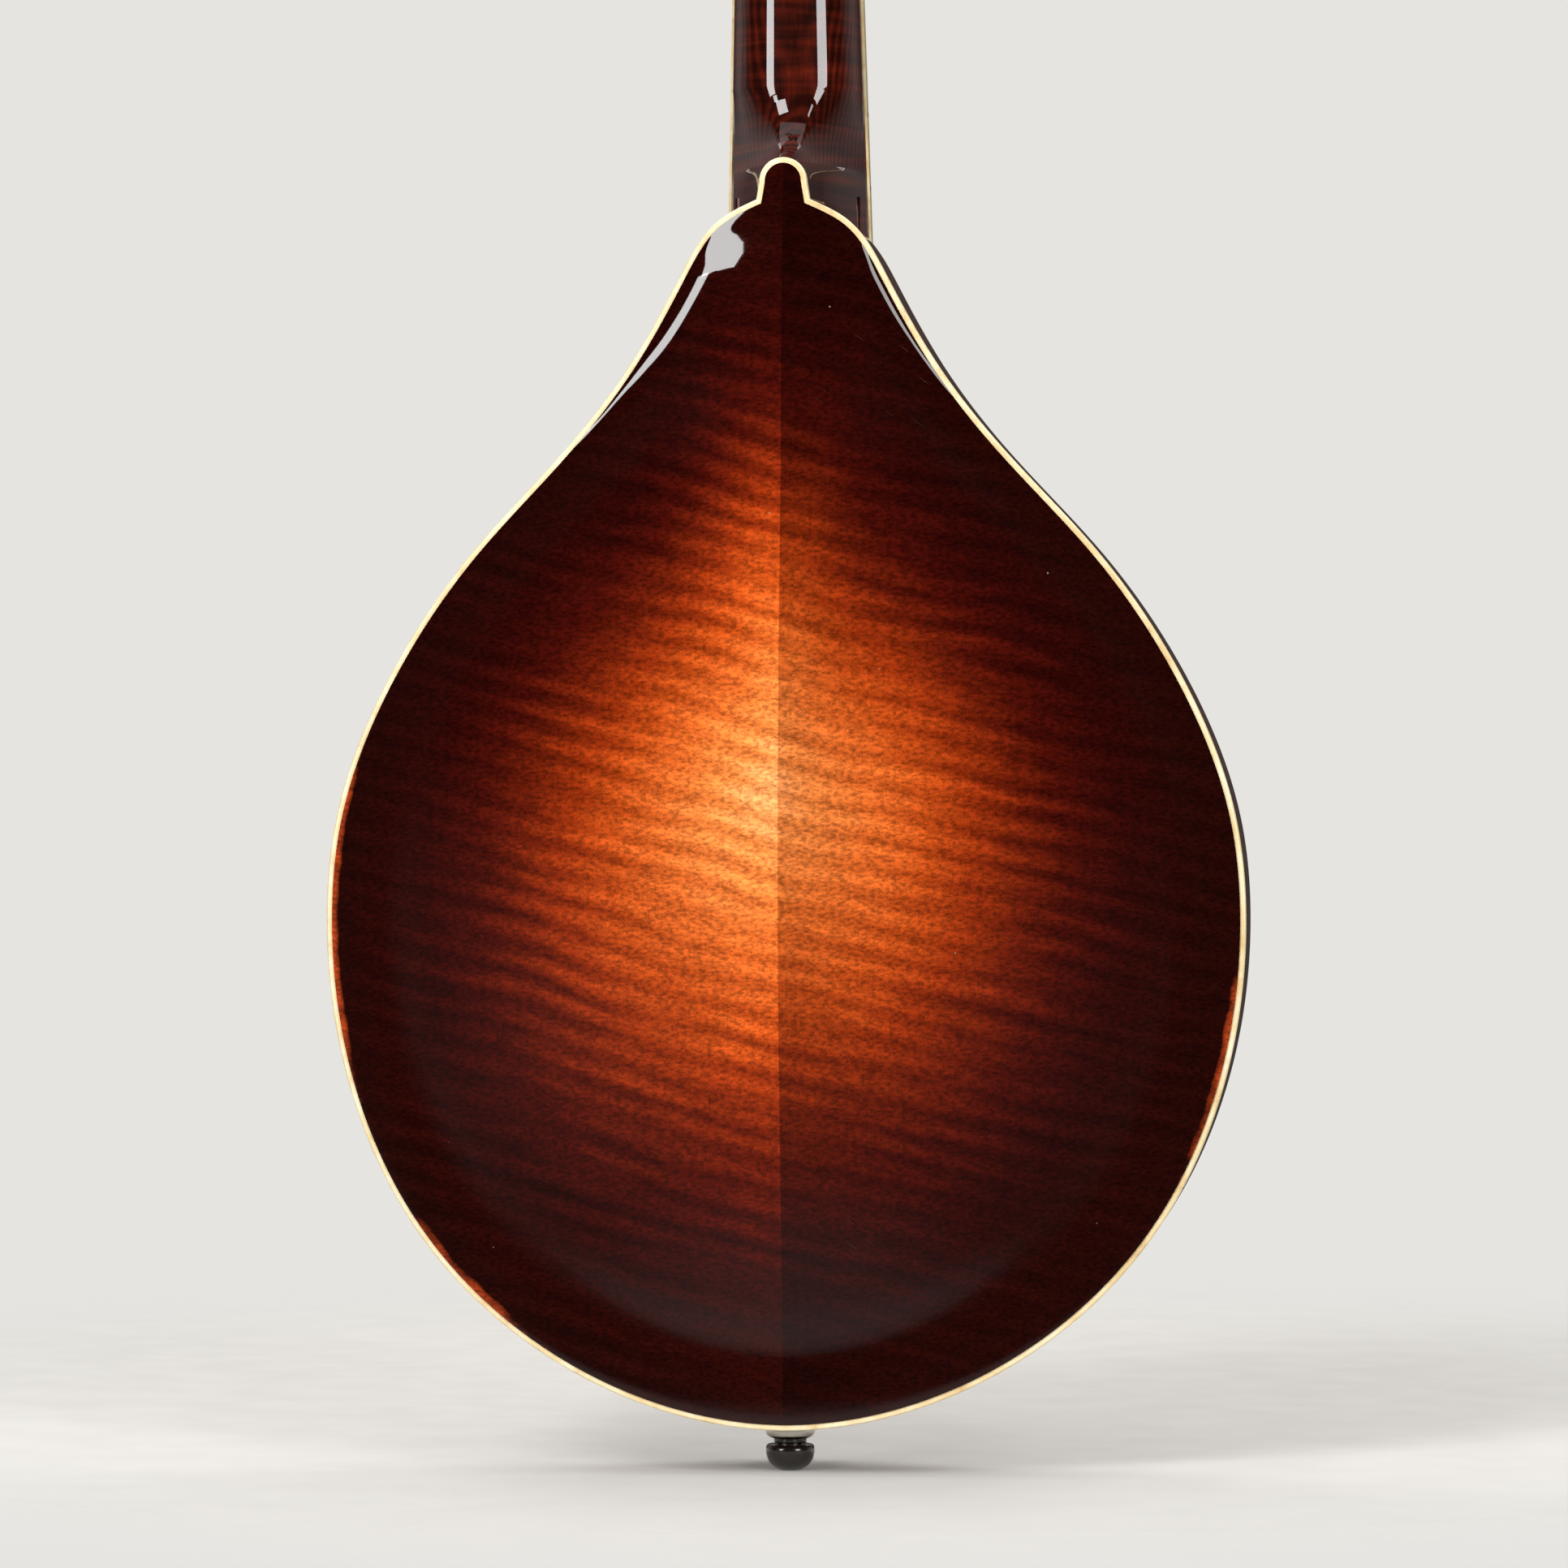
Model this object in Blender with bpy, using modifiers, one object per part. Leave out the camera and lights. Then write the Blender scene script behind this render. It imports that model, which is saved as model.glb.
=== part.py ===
"""An A-style mandolin: pear-shaped carved body, set neck, adjustable bridge, geared tuners.

Metres, +Z up the neck, the front faces -Y and the treble side is +X. The origin is the middle
of the nut, on the plane where the fingerboard is glued to the neck.
"""

import math

import bmesh
import bpy
import numpy as np
from mathutils import Matrix, Vector

# Driving dimensions
GAP = 0.0003
SCALE_LENGTH = 0.3524
BODY_FRET = 12
NECK_PITCH = math.radians(5)
HEAD_PITCH = math.radians(14)
NECK_RISE = 0.0048
BODY_DEPTH = 0.041
PLATE_EDGE = 0.0035
TOP_ARCH = 0.0125
BACK_ARCH = 0.0130
BINDING = 0.0016
RIB = 0.0024
FIRST_POST = 0.030
POST_SPACING = 0.023
PIN_Y = 0.0205
PIN_SHAFT = 0.0040
PIN_BORE = PIN_SHAFT + 0.0004
SIDES = {"treble": 1, "bass": -1}

# Half of the body's outline from the button's corner to the tail: across, and down from the neck joint
OUTLINE = [
    (0.0074, 0.0),
    (0.0182, -0.0060),
    (0.0288, -0.0215),
    (0.0432, -0.0465),
    (0.0612, -0.0694),
    (0.0858, -0.0962),
    (0.1099, -0.1320),
    (0.1245, -0.1710),
    (0.1270, -0.1990),
    (0.1219, -0.2395),
    (0.1017, -0.2842),
    (0.0630, -0.3200),
    (0.0, -0.3384),
]
BODY_LENGTH = -OUTLINE[-1][1]
OUTLINE_STEPS = 26
OUTLINE_CROWDING = 1.3
RIB_START = 0.0094
LINING_GAP = 0.0008
BUTTON_RADIUS = 0.0066
BUTTON_HEIGHT = 0.0116
BUTTON_STEPS = 4
ARCH_CENTRE = -0.185
RING_PLACES = (1.0, 0.95, 0.87, 0.70, 0.48, 0.24)

JOINT_DISTANCE = SCALE_LENGTH * (1 - 2 ** (-BODY_FRET / 12))
BODY_TOP_Z = -JOINT_DISTANCE * math.cos(NECK_PITCH)
BODY_FRONT_Y = -JOINT_DISTANCE * math.sin(NECK_PITCH) + NECK_RISE

# Colours: sRGB as fractions, roughness, metallic
FINISHES = {
    "sunburst_maple": ((0.30, 0.09, 0.03), 0.15, 0.0),
    "sunburst_spruce": ((0.42, 0.16, 0.04), 0.15, 0.0),
    "dark_maple": ((0.13, 0.05, 0.03), 0.15, 0.0),
    "bare_spruce": ((0.72, 0.55, 0.35), 0.7, 0.0),
    "ivoroid": ((0.93, 0.87, 0.68), 0.3, 0.0),
    "ebony": ((0.02, 0.018, 0.016), 0.3, 0.0),
    "bone": ((0.88, 0.84, 0.74), 0.4, 0.0),
    "nickel": ((0.72, 0.70, 0.66), 0.25, 1.0),
    "string_wire": ((0.70, 0.66, 0.58), 0.3, 1.0),
}


def finish(name):
    """The material of that name, made on first use."""
    found = bpy.data.materials.get(name)
    if found:
        return found
    colour, roughness, metallic = FINISHES[name]
    made = bpy.data.materials.new(name)
    made.use_nodes = True
    shader = made.node_tree.nodes["Principled BSDF"]
    shader.inputs["Base Color"].default_value = (*colour, 1)
    shader.inputs["Roughness"].default_value = roughness
    shader.inputs["Metallic"].default_value = metallic
    return made


def collection(name):
    """The collection of that name, made on first use."""
    found = bpy.data.collections.get(name)
    if not found:
        found = bpy.data.collections.new(name)
        bpy.context.scene.collection.children.link(found)
    return found


def start_scene():
    """Empties the scene and makes the three frames that the pieces are built in."""
    for old in list(bpy.data.objects):
        bpy.data.objects.remove(old)
    frames = {}
    for name in ("body_frame", "neck_frame", "head_frame"):
        frames[name] = bpy.data.objects.new(name, None)
        collection("mandolin").objects.link(frames[name])
    frames["body_frame"].location = (0, BODY_FRONT_Y, BODY_TOP_Z)
    frames["neck_frame"].rotation_euler = (-NECK_PITCH, 0, 0)
    frames["head_frame"].parent = frames["neck_frame"]
    frames["head_frame"].rotation_euler = (-HEAD_PITCH, 0, 0)
    return frames


def add_object(name, mesh, look, parent, cutter=False):
    """A named object from a mesh, in the frame that parent gives."""
    made = bpy.data.objects.new(name, mesh)
    mesh.materials.append(finish(look))
    collection("cutters" if cutter else "mandolin").objects.link(made)
    made.parent = parent
    if cutter:
        made.hide_render = True
        made.display_type = "WIRE"
    return made


def mesh_of(name, points, faces):
    mesh = bpy.data.meshes.new(name)
    mesh.from_pydata([tuple(p) for p in points], [], faces)
    mesh.update()
    return mesh


def mesh_piece(name, points, faces, look, parent, cutter=False):
    return add_object(name, mesh_of(name, points, faces), look, parent, cutter)


def block(name, low, high, look, parent, cutter=False, widen=1.0):
    """A box between two corners. widen scales its -Z end across, for a tapered block."""
    box = bmesh.new()
    bmesh.ops.create_cube(box, size=1)
    centre = (Vector(low) + Vector(high)) / 2
    size = Vector(high) - Vector(low)
    for vertex in box.verts:
        across = size.x * (widen if vertex.co.z < 0 else 1)
        vertex.co = centre + Vector((vertex.co.x * across, vertex.co.y * size.y, vertex.co.z * size.z))
    mesh = bpy.data.meshes.new(name)
    box.to_mesh(mesh)
    box.free()
    return add_object(name, mesh, look, parent, cutter)


def rod(name, start, end, radius, sides, look, parent, cutter=False):
    """A straight round bar between two points."""
    start, end = Vector(start), Vector(end)
    bar = bmesh.new()
    bmesh.ops.create_cone(
        bar, cap_ends=True, segments=sides, radius1=radius, radius2=radius, depth=(end - start).length
    )
    turn = (end - start).to_track_quat("Z", "Y").to_matrix().to_4x4()
    bar.transform(Matrix.Translation((start + end) / 2) @ turn)
    mesh = bpy.data.meshes.new(name)
    bar.to_mesh(mesh)
    bar.free()
    return add_object(name, mesh, look, parent, cutter)


def turned(name, profile, sides, look, parent, at=(0, 0, 0), axis="Z"):
    """A solid of revolution: profile is (radius, height) and starts and ends at radius 0."""
    mesh = bpy.data.meshes.new(name)
    mesh.from_pydata([(r, 0, h) for r, h in profile], [(i, i + 1) for i in range(len(profile) - 1)], [])
    made = add_object(name, mesh, look, parent)
    lathe = made.modifiers.new("lathe", "SCREW")
    lathe.steps = lathe.render_steps = sides
    lathe.use_merge_vertices = True
    lathe.merge_threshold = 0.00001
    made.location = at
    if axis == "-Y":
        made.rotation_euler = (math.radians(90), 0, 0)
    return made


def slab(name, loops, low, high, look, parent, cutter=False):
    """A flat outline in X and Z, with any holes after it, extruded in Y from low to high."""
    drawing = bpy.data.curves.new(name, "CURVE")
    drawing.dimensions = "2D"
    drawing.fill_mode = "BOTH"
    drawing.extrude = (high - low) / 2
    for loop in loops:
        spline = drawing.splines.new("POLY")
        spline.points.add(len(loop) - 1)
        for point, (x, z) in zip(spline.points, loop):
            point.co = (x, z, 0, 1)
        spline.use_cyclic_u = True
    drawn = bpy.data.objects.new(name + "_drawing", drawing)
    bpy.context.scene.collection.objects.link(drawn)
    graph = bpy.context.evaluated_depsgraph_get()
    mesh = bpy.data.meshes.new_from_object(drawn.evaluated_get(graph))
    bpy.data.objects.remove(drawn)
    mesh.name = name
    solid = bmesh.new()
    solid.from_mesh(mesh)
    bmesh.ops.remove_doubles(solid, verts=solid.verts, dist=0.000001)
    if len(loops) == 1:
        caps = [face for face in solid.faces if abs(face.normal.z) > 0.9]
        bmesh.ops.dissolve_faces(solid, faces=[face for face in caps if face.normal.z > 0])
        caps = [face for face in solid.faces if face.normal.z < -0.9]
        bmesh.ops.dissolve_faces(solid, faces=caps)
    upright = Matrix.Translation((0, (low + high) / 2, 0)) @ Matrix.Rotation(math.radians(90), 4, "X")
    solid.transform(upright)
    bmesh.ops.recalc_face_normals(solid, faces=solid.faces)
    solid.to_mesh(mesh)
    solid.free()
    mesh.materials.clear()
    return add_object(name, mesh, look, parent, cutter)


def boolean(piece, operation, *others):
    """Cuts each of the others from the piece, or joins it on, and keeps the result as the piece's mesh."""
    for other in others:
        step = piece.modifiers.new(other.name, "BOOLEAN")
        step.operation = operation
        step.solver = "EXACT"
        step.object = other
    bake(piece)


def bake(piece):
    """Replaces the piece's mesh with what its modifiers give."""
    bpy.context.view_layer.update()
    graph = bpy.context.evaluated_depsgraph_get()
    baked = bpy.data.meshes.new_from_object(piece.evaluated_get(graph))
    piece.modifiers.clear()
    piece.data = baked


def cut(piece, *cutters):
    boolean(piece, "DIFFERENCE", *cutters)


def fuse(piece, *additions):
    """Joins the additions onto the piece and removes them from the scene."""
    boolean(piece, "UNION", *additions)
    for addition in additions:
        bpy.data.objects.remove(addition)


def recalculate(piece, merge=0.0):
    """Splits the piece's faces into flat ones, turned outwards. Points closer than merge become one."""
    solid = bmesh.new()
    solid.from_mesh(piece.data)
    if merge:
        bmesh.ops.remove_doubles(solid, verts=solid.verts, dist=merge)
    bmesh.ops.triangulate(solid, faces=solid.faces)
    bmesh.ops.recalc_face_normals(solid, faces=solid.faces)
    solid.to_mesh(piece.data)
    solid.free()


def loft(sections):
    """Points and faces of a closed solid through rings of equal count."""
    n = len(sections[0])
    points = [point for ring in sections for point in ring]
    faces = [
        (k * n + i, k * n + (i + 1) % n, (k + 1) * n + (i + 1) % n, (k + 1) * n + i)
        for k in range(len(sections) - 1)
        for i in range(n)
    ]
    faces += [tuple(range(n))[::-1], tuple(range((len(sections) - 1) * n, len(sections) * n))]
    return points, faces


def lofted(name, sections, look, parent):
    """A solid through rings of equal count."""
    piece = mesh_piece(name, *loft(sections), look, parent)
    recalculate(piece)
    return piece


def circle(radius, sides, x=0.0, z=0.0):
    """Points of a circle in X and Z."""
    turns = [2 * math.pi * k / sides for k in range(sides)]
    return [(x + radius * math.cos(a), z + radius * math.sin(a)) for a in turns]


def smooth(piece, angle=35):
    piece.data.shade_smooth()
    piece.data.set_sharp_from_angle(angle=math.radians(angle))


# The outline of the body, and the height of its carved plates


def curve_through(knots, last, count, crowding=1.0):
    """Points on the natural cubic spline through the knots, as far as knot number last.
    They are evenly spaced, or crowded towards the start where crowding is over 1."""
    knots = np.array(knots)
    place = np.concatenate(([0], np.cumsum(np.linalg.norm(np.diff(knots, axis=0), axis=1))))
    step = np.diff(place)
    slopes = np.diff(knots, axis=0) / step[:, None]
    system = np.eye(len(knots))
    right = np.zeros_like(knots)
    for i in range(1, len(knots) - 1):
        system[i, i - 1 : i + 2] = step[i - 1], 2 * (step[i - 1] + step[i]), step[i]
        right[i] = 6 * (slopes[i] - slopes[i - 1])
    bend = np.linalg.solve(system, right)
    fine = np.linspace(0, place[last], 800)
    i = np.clip(np.searchsorted(place, fine, side="right") - 1, 0, len(step) - 1)
    near = ((place[i + 1] - fine) / step[i])[:, None]
    far = 1 - near
    sag = ((near**3 - near) * bend[i] + (far**3 - far) * bend[i + 1]) * step[i][:, None] ** 2 / 6
    line = near * knots[i] + far * knots[i + 1] + sag
    travelled = np.concatenate(([0], np.cumsum(np.linalg.norm(np.diff(line, axis=0), axis=1))))
    places = travelled[-1] * np.linspace(0, 1, count) ** crowding
    return np.column_stack([np.interp(places, travelled, line[:, k]) for k in range(2)])


def half_outline(count=OUTLINE_STEPS):
    """The body's edge on the treble side, from the button's corner to the tail."""
    mirrored = [(-x, z) for x, z in reversed(OUTLINE[-3:-1])]
    return curve_through(OUTLINE + mirrored, len(OUTLINE) - 1, count, OUTLINE_CROWDING)


def half_button():
    """The button's edge from the top of its arc to just above its corner."""
    centre = BUTTON_HEIGHT - BUTTON_RADIUS
    turns = [math.pi / 2 * i / (BUTTON_STEPS - 1) for i in range(BUTTON_STEPS)]
    return np.array([(BUTTON_RADIUS * math.sin(a), centre + BUTTON_RADIUS * math.cos(a)) for a in turns])


def inset(line, distance):
    """The line moved inwards. Ends on the centre line stay on it."""
    line = np.array(line)
    before = np.vstack([line[1] * (-1, 1) if line[0][0] < 1e-9 else 2 * line[0] - line[1], line[:-1]])
    after = np.vstack([line[1:], line[-2] * (-1, 1) if line[-1][0] < 1e-9 else 2 * line[-1] - line[-2]])
    sides = []
    for start, end in ((before, line), (line, after)):
        along = (end - start) / np.linalg.norm(end - start, axis=1)[:, None]
        sides.append(np.column_stack([along[:, 1], -along[:, 0]]))
    both = sides[0] + sides[1]
    return line + distance * both / (1 + (sides[0] * sides[1]).sum(axis=1))[:, None]


def trimmed(line, half_width):
    """The line from where it is first that far from the centre."""
    first = int(np.argmax(line[:, 0] > half_width))
    before, after = line[first - 1], line[first]
    start = before + (after - before) * (half_width - before[0]) / (after[0] - before[0])
    return np.vstack([start, line[first:]])


def polar(line):
    """Angle from straight up, and distance, seen from the centre of the arch."""
    line = np.atleast_2d(line)
    return np.arctan2(line[:, 0], line[:, 1] - ARCH_CENTRE), np.hypot(line[:, 0], line[:, 1] - ARCH_CENTRE)


def edge_share(points):
    """How far out from the arch's centre each point is: 0 at the centre and 1 at the body's edge."""
    edge = np.vstack([(0, 0), half_outline(200)])
    angles, reach = polar(edge)
    point_angles, point_reach = polar(np.abs(points) * (1, -1))
    return point_reach / np.interp(np.abs(point_angles), angles, reach)


def arch_height(share, arch):
    """A carved plate's height above its edge: a dome that sinks into a shallow hollow before the flat rim."""
    dome = 0.5 + 0.5 * np.cos(np.pi * np.clip(share / 0.93, 0, 1))
    return arch * dome**0.8 - 0.0005 * np.exp(-(((share - 0.90) / 0.03) ** 2))


def plate_grid(line, heights):
    """Points and faces of half a carved plate: rings drawn in from line towards the arch's centre.
    Faces look towards +Y for a line on the treble side."""
    centre = np.array((0, ARCH_CENTRE))
    rings = [centre + share * (line - centre) for share in RING_PLACES]
    flat = np.vstack([*rings, centre])
    y = heights(flat)
    points = np.column_stack([flat[:, 0], y, flat[:, 1]])
    n = len(line)
    faces = []
    for ring in range(len(rings) - 1):
        for i in range(n - 1):
            a = ring * n + i
            faces.append((a, a + 1, a + 1 + n, a + n))
    last = (len(rings) - 1) * n
    faces += [(last + i, last + i + 1, len(flat) - 1) for i in range(n - 1)]
    return points, faces


def shell(piece, thickness):
    """Gives an open surface its thickness, on the side that its faces turn away from."""
    skin = piece.modifiers.new("thickness", "SOLIDIFY")
    skin.thickness = thickness
    skin.offset = -1
    skin.use_even_offset = True


def wall(name, line, low, high, thickness, look, parent, side=1, mirrored=False):
    """A strip that stands on the line from low to high in Y, and is thickness wide inwards."""
    n = len(line)
    points = [(side * x, y, z) for y in (low, high) for x, z in line]
    faces = [(i, i + 1, i + 1 + n, i + n) for i in range(n - 1)]
    if side < 0:
        faces = [face[::-1] for face in faces]
    piece = mesh_piece(name, points, faces, look, parent)
    if mirrored:
        mirror = piece.modifiers.new("mirror", "MIRROR")
        mirror.merge_threshold = 0.0001
    shell(piece, thickness)
    bake(piece)
    smooth(piece)
    return piece


# The carved body


def back_plates(body):
    """The two-piece carved back. Each half carries its half of the button that caps the heel."""
    corner = BUTTON_STEPS
    full = inset(np.vstack([half_button(), half_outline()]), BINDING + GAP)
    base = [(full[corner][0] * i / corner, full[corner][1]) for i in range(corner)]
    line = np.vstack([base, full[corner:]])
    points, faces = plate_grid(line, lambda p: BODY_DEPTH + arch_height(edge_share(p), BACK_ARCH))
    tongue = np.column_stack([full[:corner, 0], np.full(corner, BODY_DEPTH), full[:corner, 1]])
    start = len(points)
    points = np.vstack([points, tongue])
    top_row = [start + i for i in range(corner)]
    faces += [(top_row[i], top_row[i + 1], i + 1, i) for i in range(corner - 1)]
    faces.append((top_row[-1], corner, corner - 1))
    for name, side in SIDES.items():
        carved_half("back_plate_" + name, points, faces, side, 1, "sunburst_maple", body)


def carved_half(name, points, faces, side, facing, look, body):
    """One half of a plate: side is +1 for treble, facing is +1 for the back and -1 for the soundboard."""
    placed = points * (side, 1, 1) + (side * GAP / 2, 0, 0)
    turned_faces = faces if side * facing > 0 else [face[::-1] for face in faces]
    piece = mesh_piece(name, placed, turned_faces, look, body)
    shell(piece, PLATE_EDGE)
    bake(piece)
    smooth(piece)
    return piece


SOUND_HOLE_Z = -0.0985
SOUND_HOLE = (0.0270, 0.0205)
SOUND_HOLE_SIDES = 20
SOUND_HOLE_RING = 0.0015
RING_PROUD = 0.0002


def oval(grow):
    """The sound hole's edge, moved out by grow."""
    turns = [2 * math.pi * i / SOUND_HOLE_SIDES for i in range(SOUND_HOLE_SIDES)]
    wide, high = SOUND_HOLE[0] + grow, SOUND_HOLE[1] + grow
    return [(wide * math.cos(a), SOUND_HOLE_Z + high * math.sin(a)) for a in turns]


def soundboard(body):
    """The carved spruce top in two halves, with the oval sound hole and the slot for the neck's tenon."""
    inner = inset(half_outline(), BINDING + GAP)
    line = np.vstack([[(0, inner[0][1]), (inner[0][0] / 2, inner[0][1])], inner])
    points, faces = plate_grid(line, lambda p: -arch_height(edge_share(p), TOP_ARCH))
    hole = slab("sound_hole_cutter", [oval(0)], -0.03, 0.01, "ebony", body, cutter=True)
    slot = tenon("soundboard_slot_cutter", GAP, body, cutter=True)
    for name, side in SIDES.items():
        half = carved_half("soundboard_" + name, points, faces, side, -1, "sunburst_spruce", body)
        cut(half, hole, slot)
        smooth(half)
    rosette(body)


def rosette(body):
    """The ivoroid ring that lines the sound hole, cut to the curve of the top."""
    outer = np.array(oval(-GAP))
    n = len(outer)
    front = -arch_height(edge_share(outer), TOP_ARCH)
    points = []
    for depth in (-RING_PROUD, PLATE_EDGE):
        points += [(x, y + depth, z) for (x, z), y in zip(outer, front)]
    faces = [((i + 1) % n, i, i + n, (i + 1) % n + n) for i in range(n)]
    ring = mesh_piece("soundhole_ring", points, faces, "ivoroid", body)
    shell(ring, SOUND_HOLE_RING)
    bake(ring)
    smooth(ring)


TENON_HALF_WIDTH = 0.0062
TENON_LENGTH = 0.015
TENON_LIFT = 0.0025
TENON_DEPTH = 0.030
TENON_ROOT = 0.002
TENON_FLARE = 1.25


def tenon(name, grow, body, cutter=False):
    """The dovetail that locks the neck into its block: it widens into the body."""
    return block(
        name,
        (-TENON_HALF_WIDTH - grow, -TENON_LIFT - 4 * grow, -TENON_LENGTH - grow),
        (TENON_HALF_WIDTH + grow, TENON_DEPTH + grow, TENON_ROOT),
        "dark_maple",
        body,
        cutter,
        widen=TENON_FLARE,
    )


LINING = (0.0045, 0.0060)
LINING_INSET = 0.0006
NECK_BLOCK_END = -0.038
TAIL_BLOCK_START = -0.316
TAIL_BLOCK_HALF_WIDTH = 0.030


def rim(body):
    """Ribs, linings, bindings and the two end blocks."""
    edge = half_outline()
    open_at_neck = trimmed(edge, RIB_START)
    low, high = PLATE_EDGE + GAP, BODY_DEPTH - PLATE_EDGE - GAP
    at_seam = open_at_neck.copy()
    at_seam[-1][0] = GAP
    ends = (0, PIN_Y, -0.35), (0, PIN_Y, -0.31)
    pin_hole = rod("pin_hole_cutter", *ends, PIN_BORE, 12, "ebony", body, True)
    for name, side in SIDES.items():
        rib = wall("rib_" + name, at_seam, low, high, RIB, "sunburst_maple", body, side)
        cut(rib, pin_hole)
        smooth(rib)
    full = np.vstack([half_button(), edge])
    wall("back_binding", full, BODY_DEPTH - PLATE_EDGE, BODY_DEPTH, BINDING, "ivoroid", body, 1, True)
    wall("top_binding", open_at_neck, 0, PLATE_EDGE, BINDING, "ivoroid", body, 1, True)

    inner = inset(edge, RIB + GAP)
    clear = inset(edge, RIB + LINING_GAP)[::2]
    bare = clear[(clear[:, 1] < -0.042) & ~((clear[:, 0] < 0.033) & (clear[:, 1] < -0.25))]
    width, deep = LINING
    reach = {"top": (low + LINING_INSET, low + deep), "back": (high - deep, high - LINING_INSET)}
    for plate, (start, end) in reach.items():
        for name, side in SIDES.items():
            wall(f"{plate}_lining_{name}", bare, start, end, width, "bare_spruce", body, side)

    head_end = inner[inner[:, 1] > -0.036]
    head_line = np.vstack([head_end, (head_end[-1][0], NECK_BLOCK_END)])
    outline = [*map(tuple, head_line), *[(-x, z) for x, z in reversed(head_line)]]
    neck_block = slab("neck_block", [outline], low, high, "bare_spruce", body)
    cut(neck_block, tenon("block_mortise_cutter", GAP, body, cutter=True))

    tail_line = inner[(inner[:, 0] < TAIL_BLOCK_HALF_WIDTH) & (inner[:, 1] < -0.25)]
    tail_line = np.vstack([(tail_line[0][0], TAIL_BLOCK_START), tail_line])
    outline = [*map(tuple, tail_line), *[(-x, z) for x, z in reversed(tail_line[:-1])]]
    tail_block = slab("tail_block", [outline], low, high, "bare_spruce", body)
    cut(tail_block, pin_hole)


BRACE_BELOW_HOLE = 0.012
BRACE_REACH = 0.088
BRACE_HALF_WIDTH = 0.003
BRACE_DEPTH = (0.003, 0.010)
BRACE_STEPS = 13


def brace(body):
    """The one cross brace under the top, below the sound hole, shaved to the inside of the arch."""
    place = SOUND_HOLE_Z - SOUND_HOLE[1] - BRACE_BELOW_HOLE
    across = np.linspace(-BRACE_REACH, BRACE_REACH, BRACE_STEPS)
    under = -arch_height(edge_share(np.column_stack([across, np.full(BRACE_STEPS, place)])), TOP_ARCH)
    under += PLATE_EDGE + 2 * GAP
    ends, middle = BRACE_DEPTH
    deep = under + ends + (middle - ends) * (1 - (across / BRACE_REACH) ** 2)
    profile = [*zip(across, under), *zip(across[::-1], deep[::-1])]
    rings = [[(x, y, place + half) for x, y in profile] for half in (-BRACE_HALF_WIDTH, BRACE_HALF_WIDTH)]
    lofted("soundboard_brace", rings, "bare_spruce", body)


# The neck and what is on it

NUT_HALF_WIDTH = 0.0154
BOARD_TAPER = (0.0201 - NUT_HALF_WIDTH) / JOINT_DISTANCE
BOARD_LENGTH = 0.2465
BOARD = 0.0045
BOARD_BINDING = 0.0013
NECK_INSET = 0.0007
SHAFT_DEPTH_NUT = 0.0150
SHAFT_DEPTH_HEEL = 0.0180
HEEL_START = 0.034
PROFILE_STEPS = 6
SHAFT_PLACES = (0.180, 0.145, 0.100, 0.060, 0.036)
HEEL_PLACES = (0.029, 0.023, 0.018, 0.0145, 0.0120, 0.0100, 0.0050, 0.0, -0.006, -0.014)
TONGUE_INSET = 0.0025
TONGUE_SHORT = 0.004


def board_half_width(distance):
    """Half of the fingerboard's width, at a distance from the nut."""
    return NUT_HALF_WIDTH + BOARD_TAPER * distance


def neck_face(height):
    """Y of the neck's glued face in the body's frame, at a height above the joint."""
    return (height + BODY_TOP_Z) * math.tan(NECK_PITCH) - BODY_FRONT_Y


def neck_section(height):
    """Half of the neck's section: from the edge of its face round to the middle of its back."""
    face = neck_face(height)
    distance = -(height + BODY_TOP_Z)
    width = board_half_width(distance) - NECK_INSET
    shaft = SHAFT_DEPTH_NUT + (SHAFT_DEPTH_HEEL - SHAFT_DEPTH_NUT) * distance / JOINT_DISTANCE
    full = BODY_DEPTH - PLATE_EDGE - GAP - face
    rise = min(max((HEEL_START - height) / (HEEL_START - BUTTON_HEIGHT), 0), 1)
    heel = 1 - math.sqrt(1 - rise**2)
    depth = shaft + (full - shaft) * heel
    top = BUTTON_HEIGHT - BUTTON_RADIUS
    over = min(max(height - top, 0), BUTTON_RADIUS)
    tip = math.sqrt(BUTTON_RADIUS**2 - over**2) if height > 0 else OUTLINE[0][0]
    blend = math.sqrt(heel)
    section = []
    for i in range(PROFILE_STEPS + 1):
        v = i / PROFILE_STEPS
        round_x = width * math.cos(v * math.pi / 2) ** 0.9
        round_y = depth * math.sin(v * math.pi / 2)
        flank = min(v / 0.75, 1)
        heel_x = tip + (width - tip) * (1 - flank) ** 1.5
        if v > 0.75:
            heel_x = tip * (1 - v) / 0.25
        heel_y = depth * flank
        x, y = (1 - blend) * round_x + blend * heel_x, (1 - blend) * round_y + blend * heel_y
        section.append((x, face + y))
    section[-1] = (0, section[-1][1])
    return section


HEAD_LENGTH = 0.128
HEAD_THICKNESS = 0.0130
OVERLAY = 0.0018
OVERLAY_START = 0.0059
FLARE = [(0.0155, -0.001), (0.0160, 0.006), (0.0212, 0.0140), (0.0282, 0.0205), (0.0308, 0.0300)]
HORN = (0.0328, 0.1120)
CREST = [(0.0300, 0.1165), (0.0215, 0.1155), (0.0110, 0.1215), (0.0, HEAD_LENGTH), (-0.0110, 0.1215)]
POST_X = 0.0205
POST_HOLE = 0.0036


def head_outline(start=0.0):
    """The headstock's outline above start: a flare, two nearly parallel sides and a crested top."""
    flare = curve_through(FLARE, len(FLARE) - 1, 9)
    crest = curve_through(CREST, len(CREST) - 2, 8)
    half = [(x, z) for x, z in (*flare, HORN, *crest)]
    half = [(x, z) for x, z in half if z > start]
    foot = np.interp(start, flare[:, 1], flare[:, 0])
    half.insert(0, (foot, start))
    return half + [(-x, z) for x, z in reversed(half[:-1])]


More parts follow.
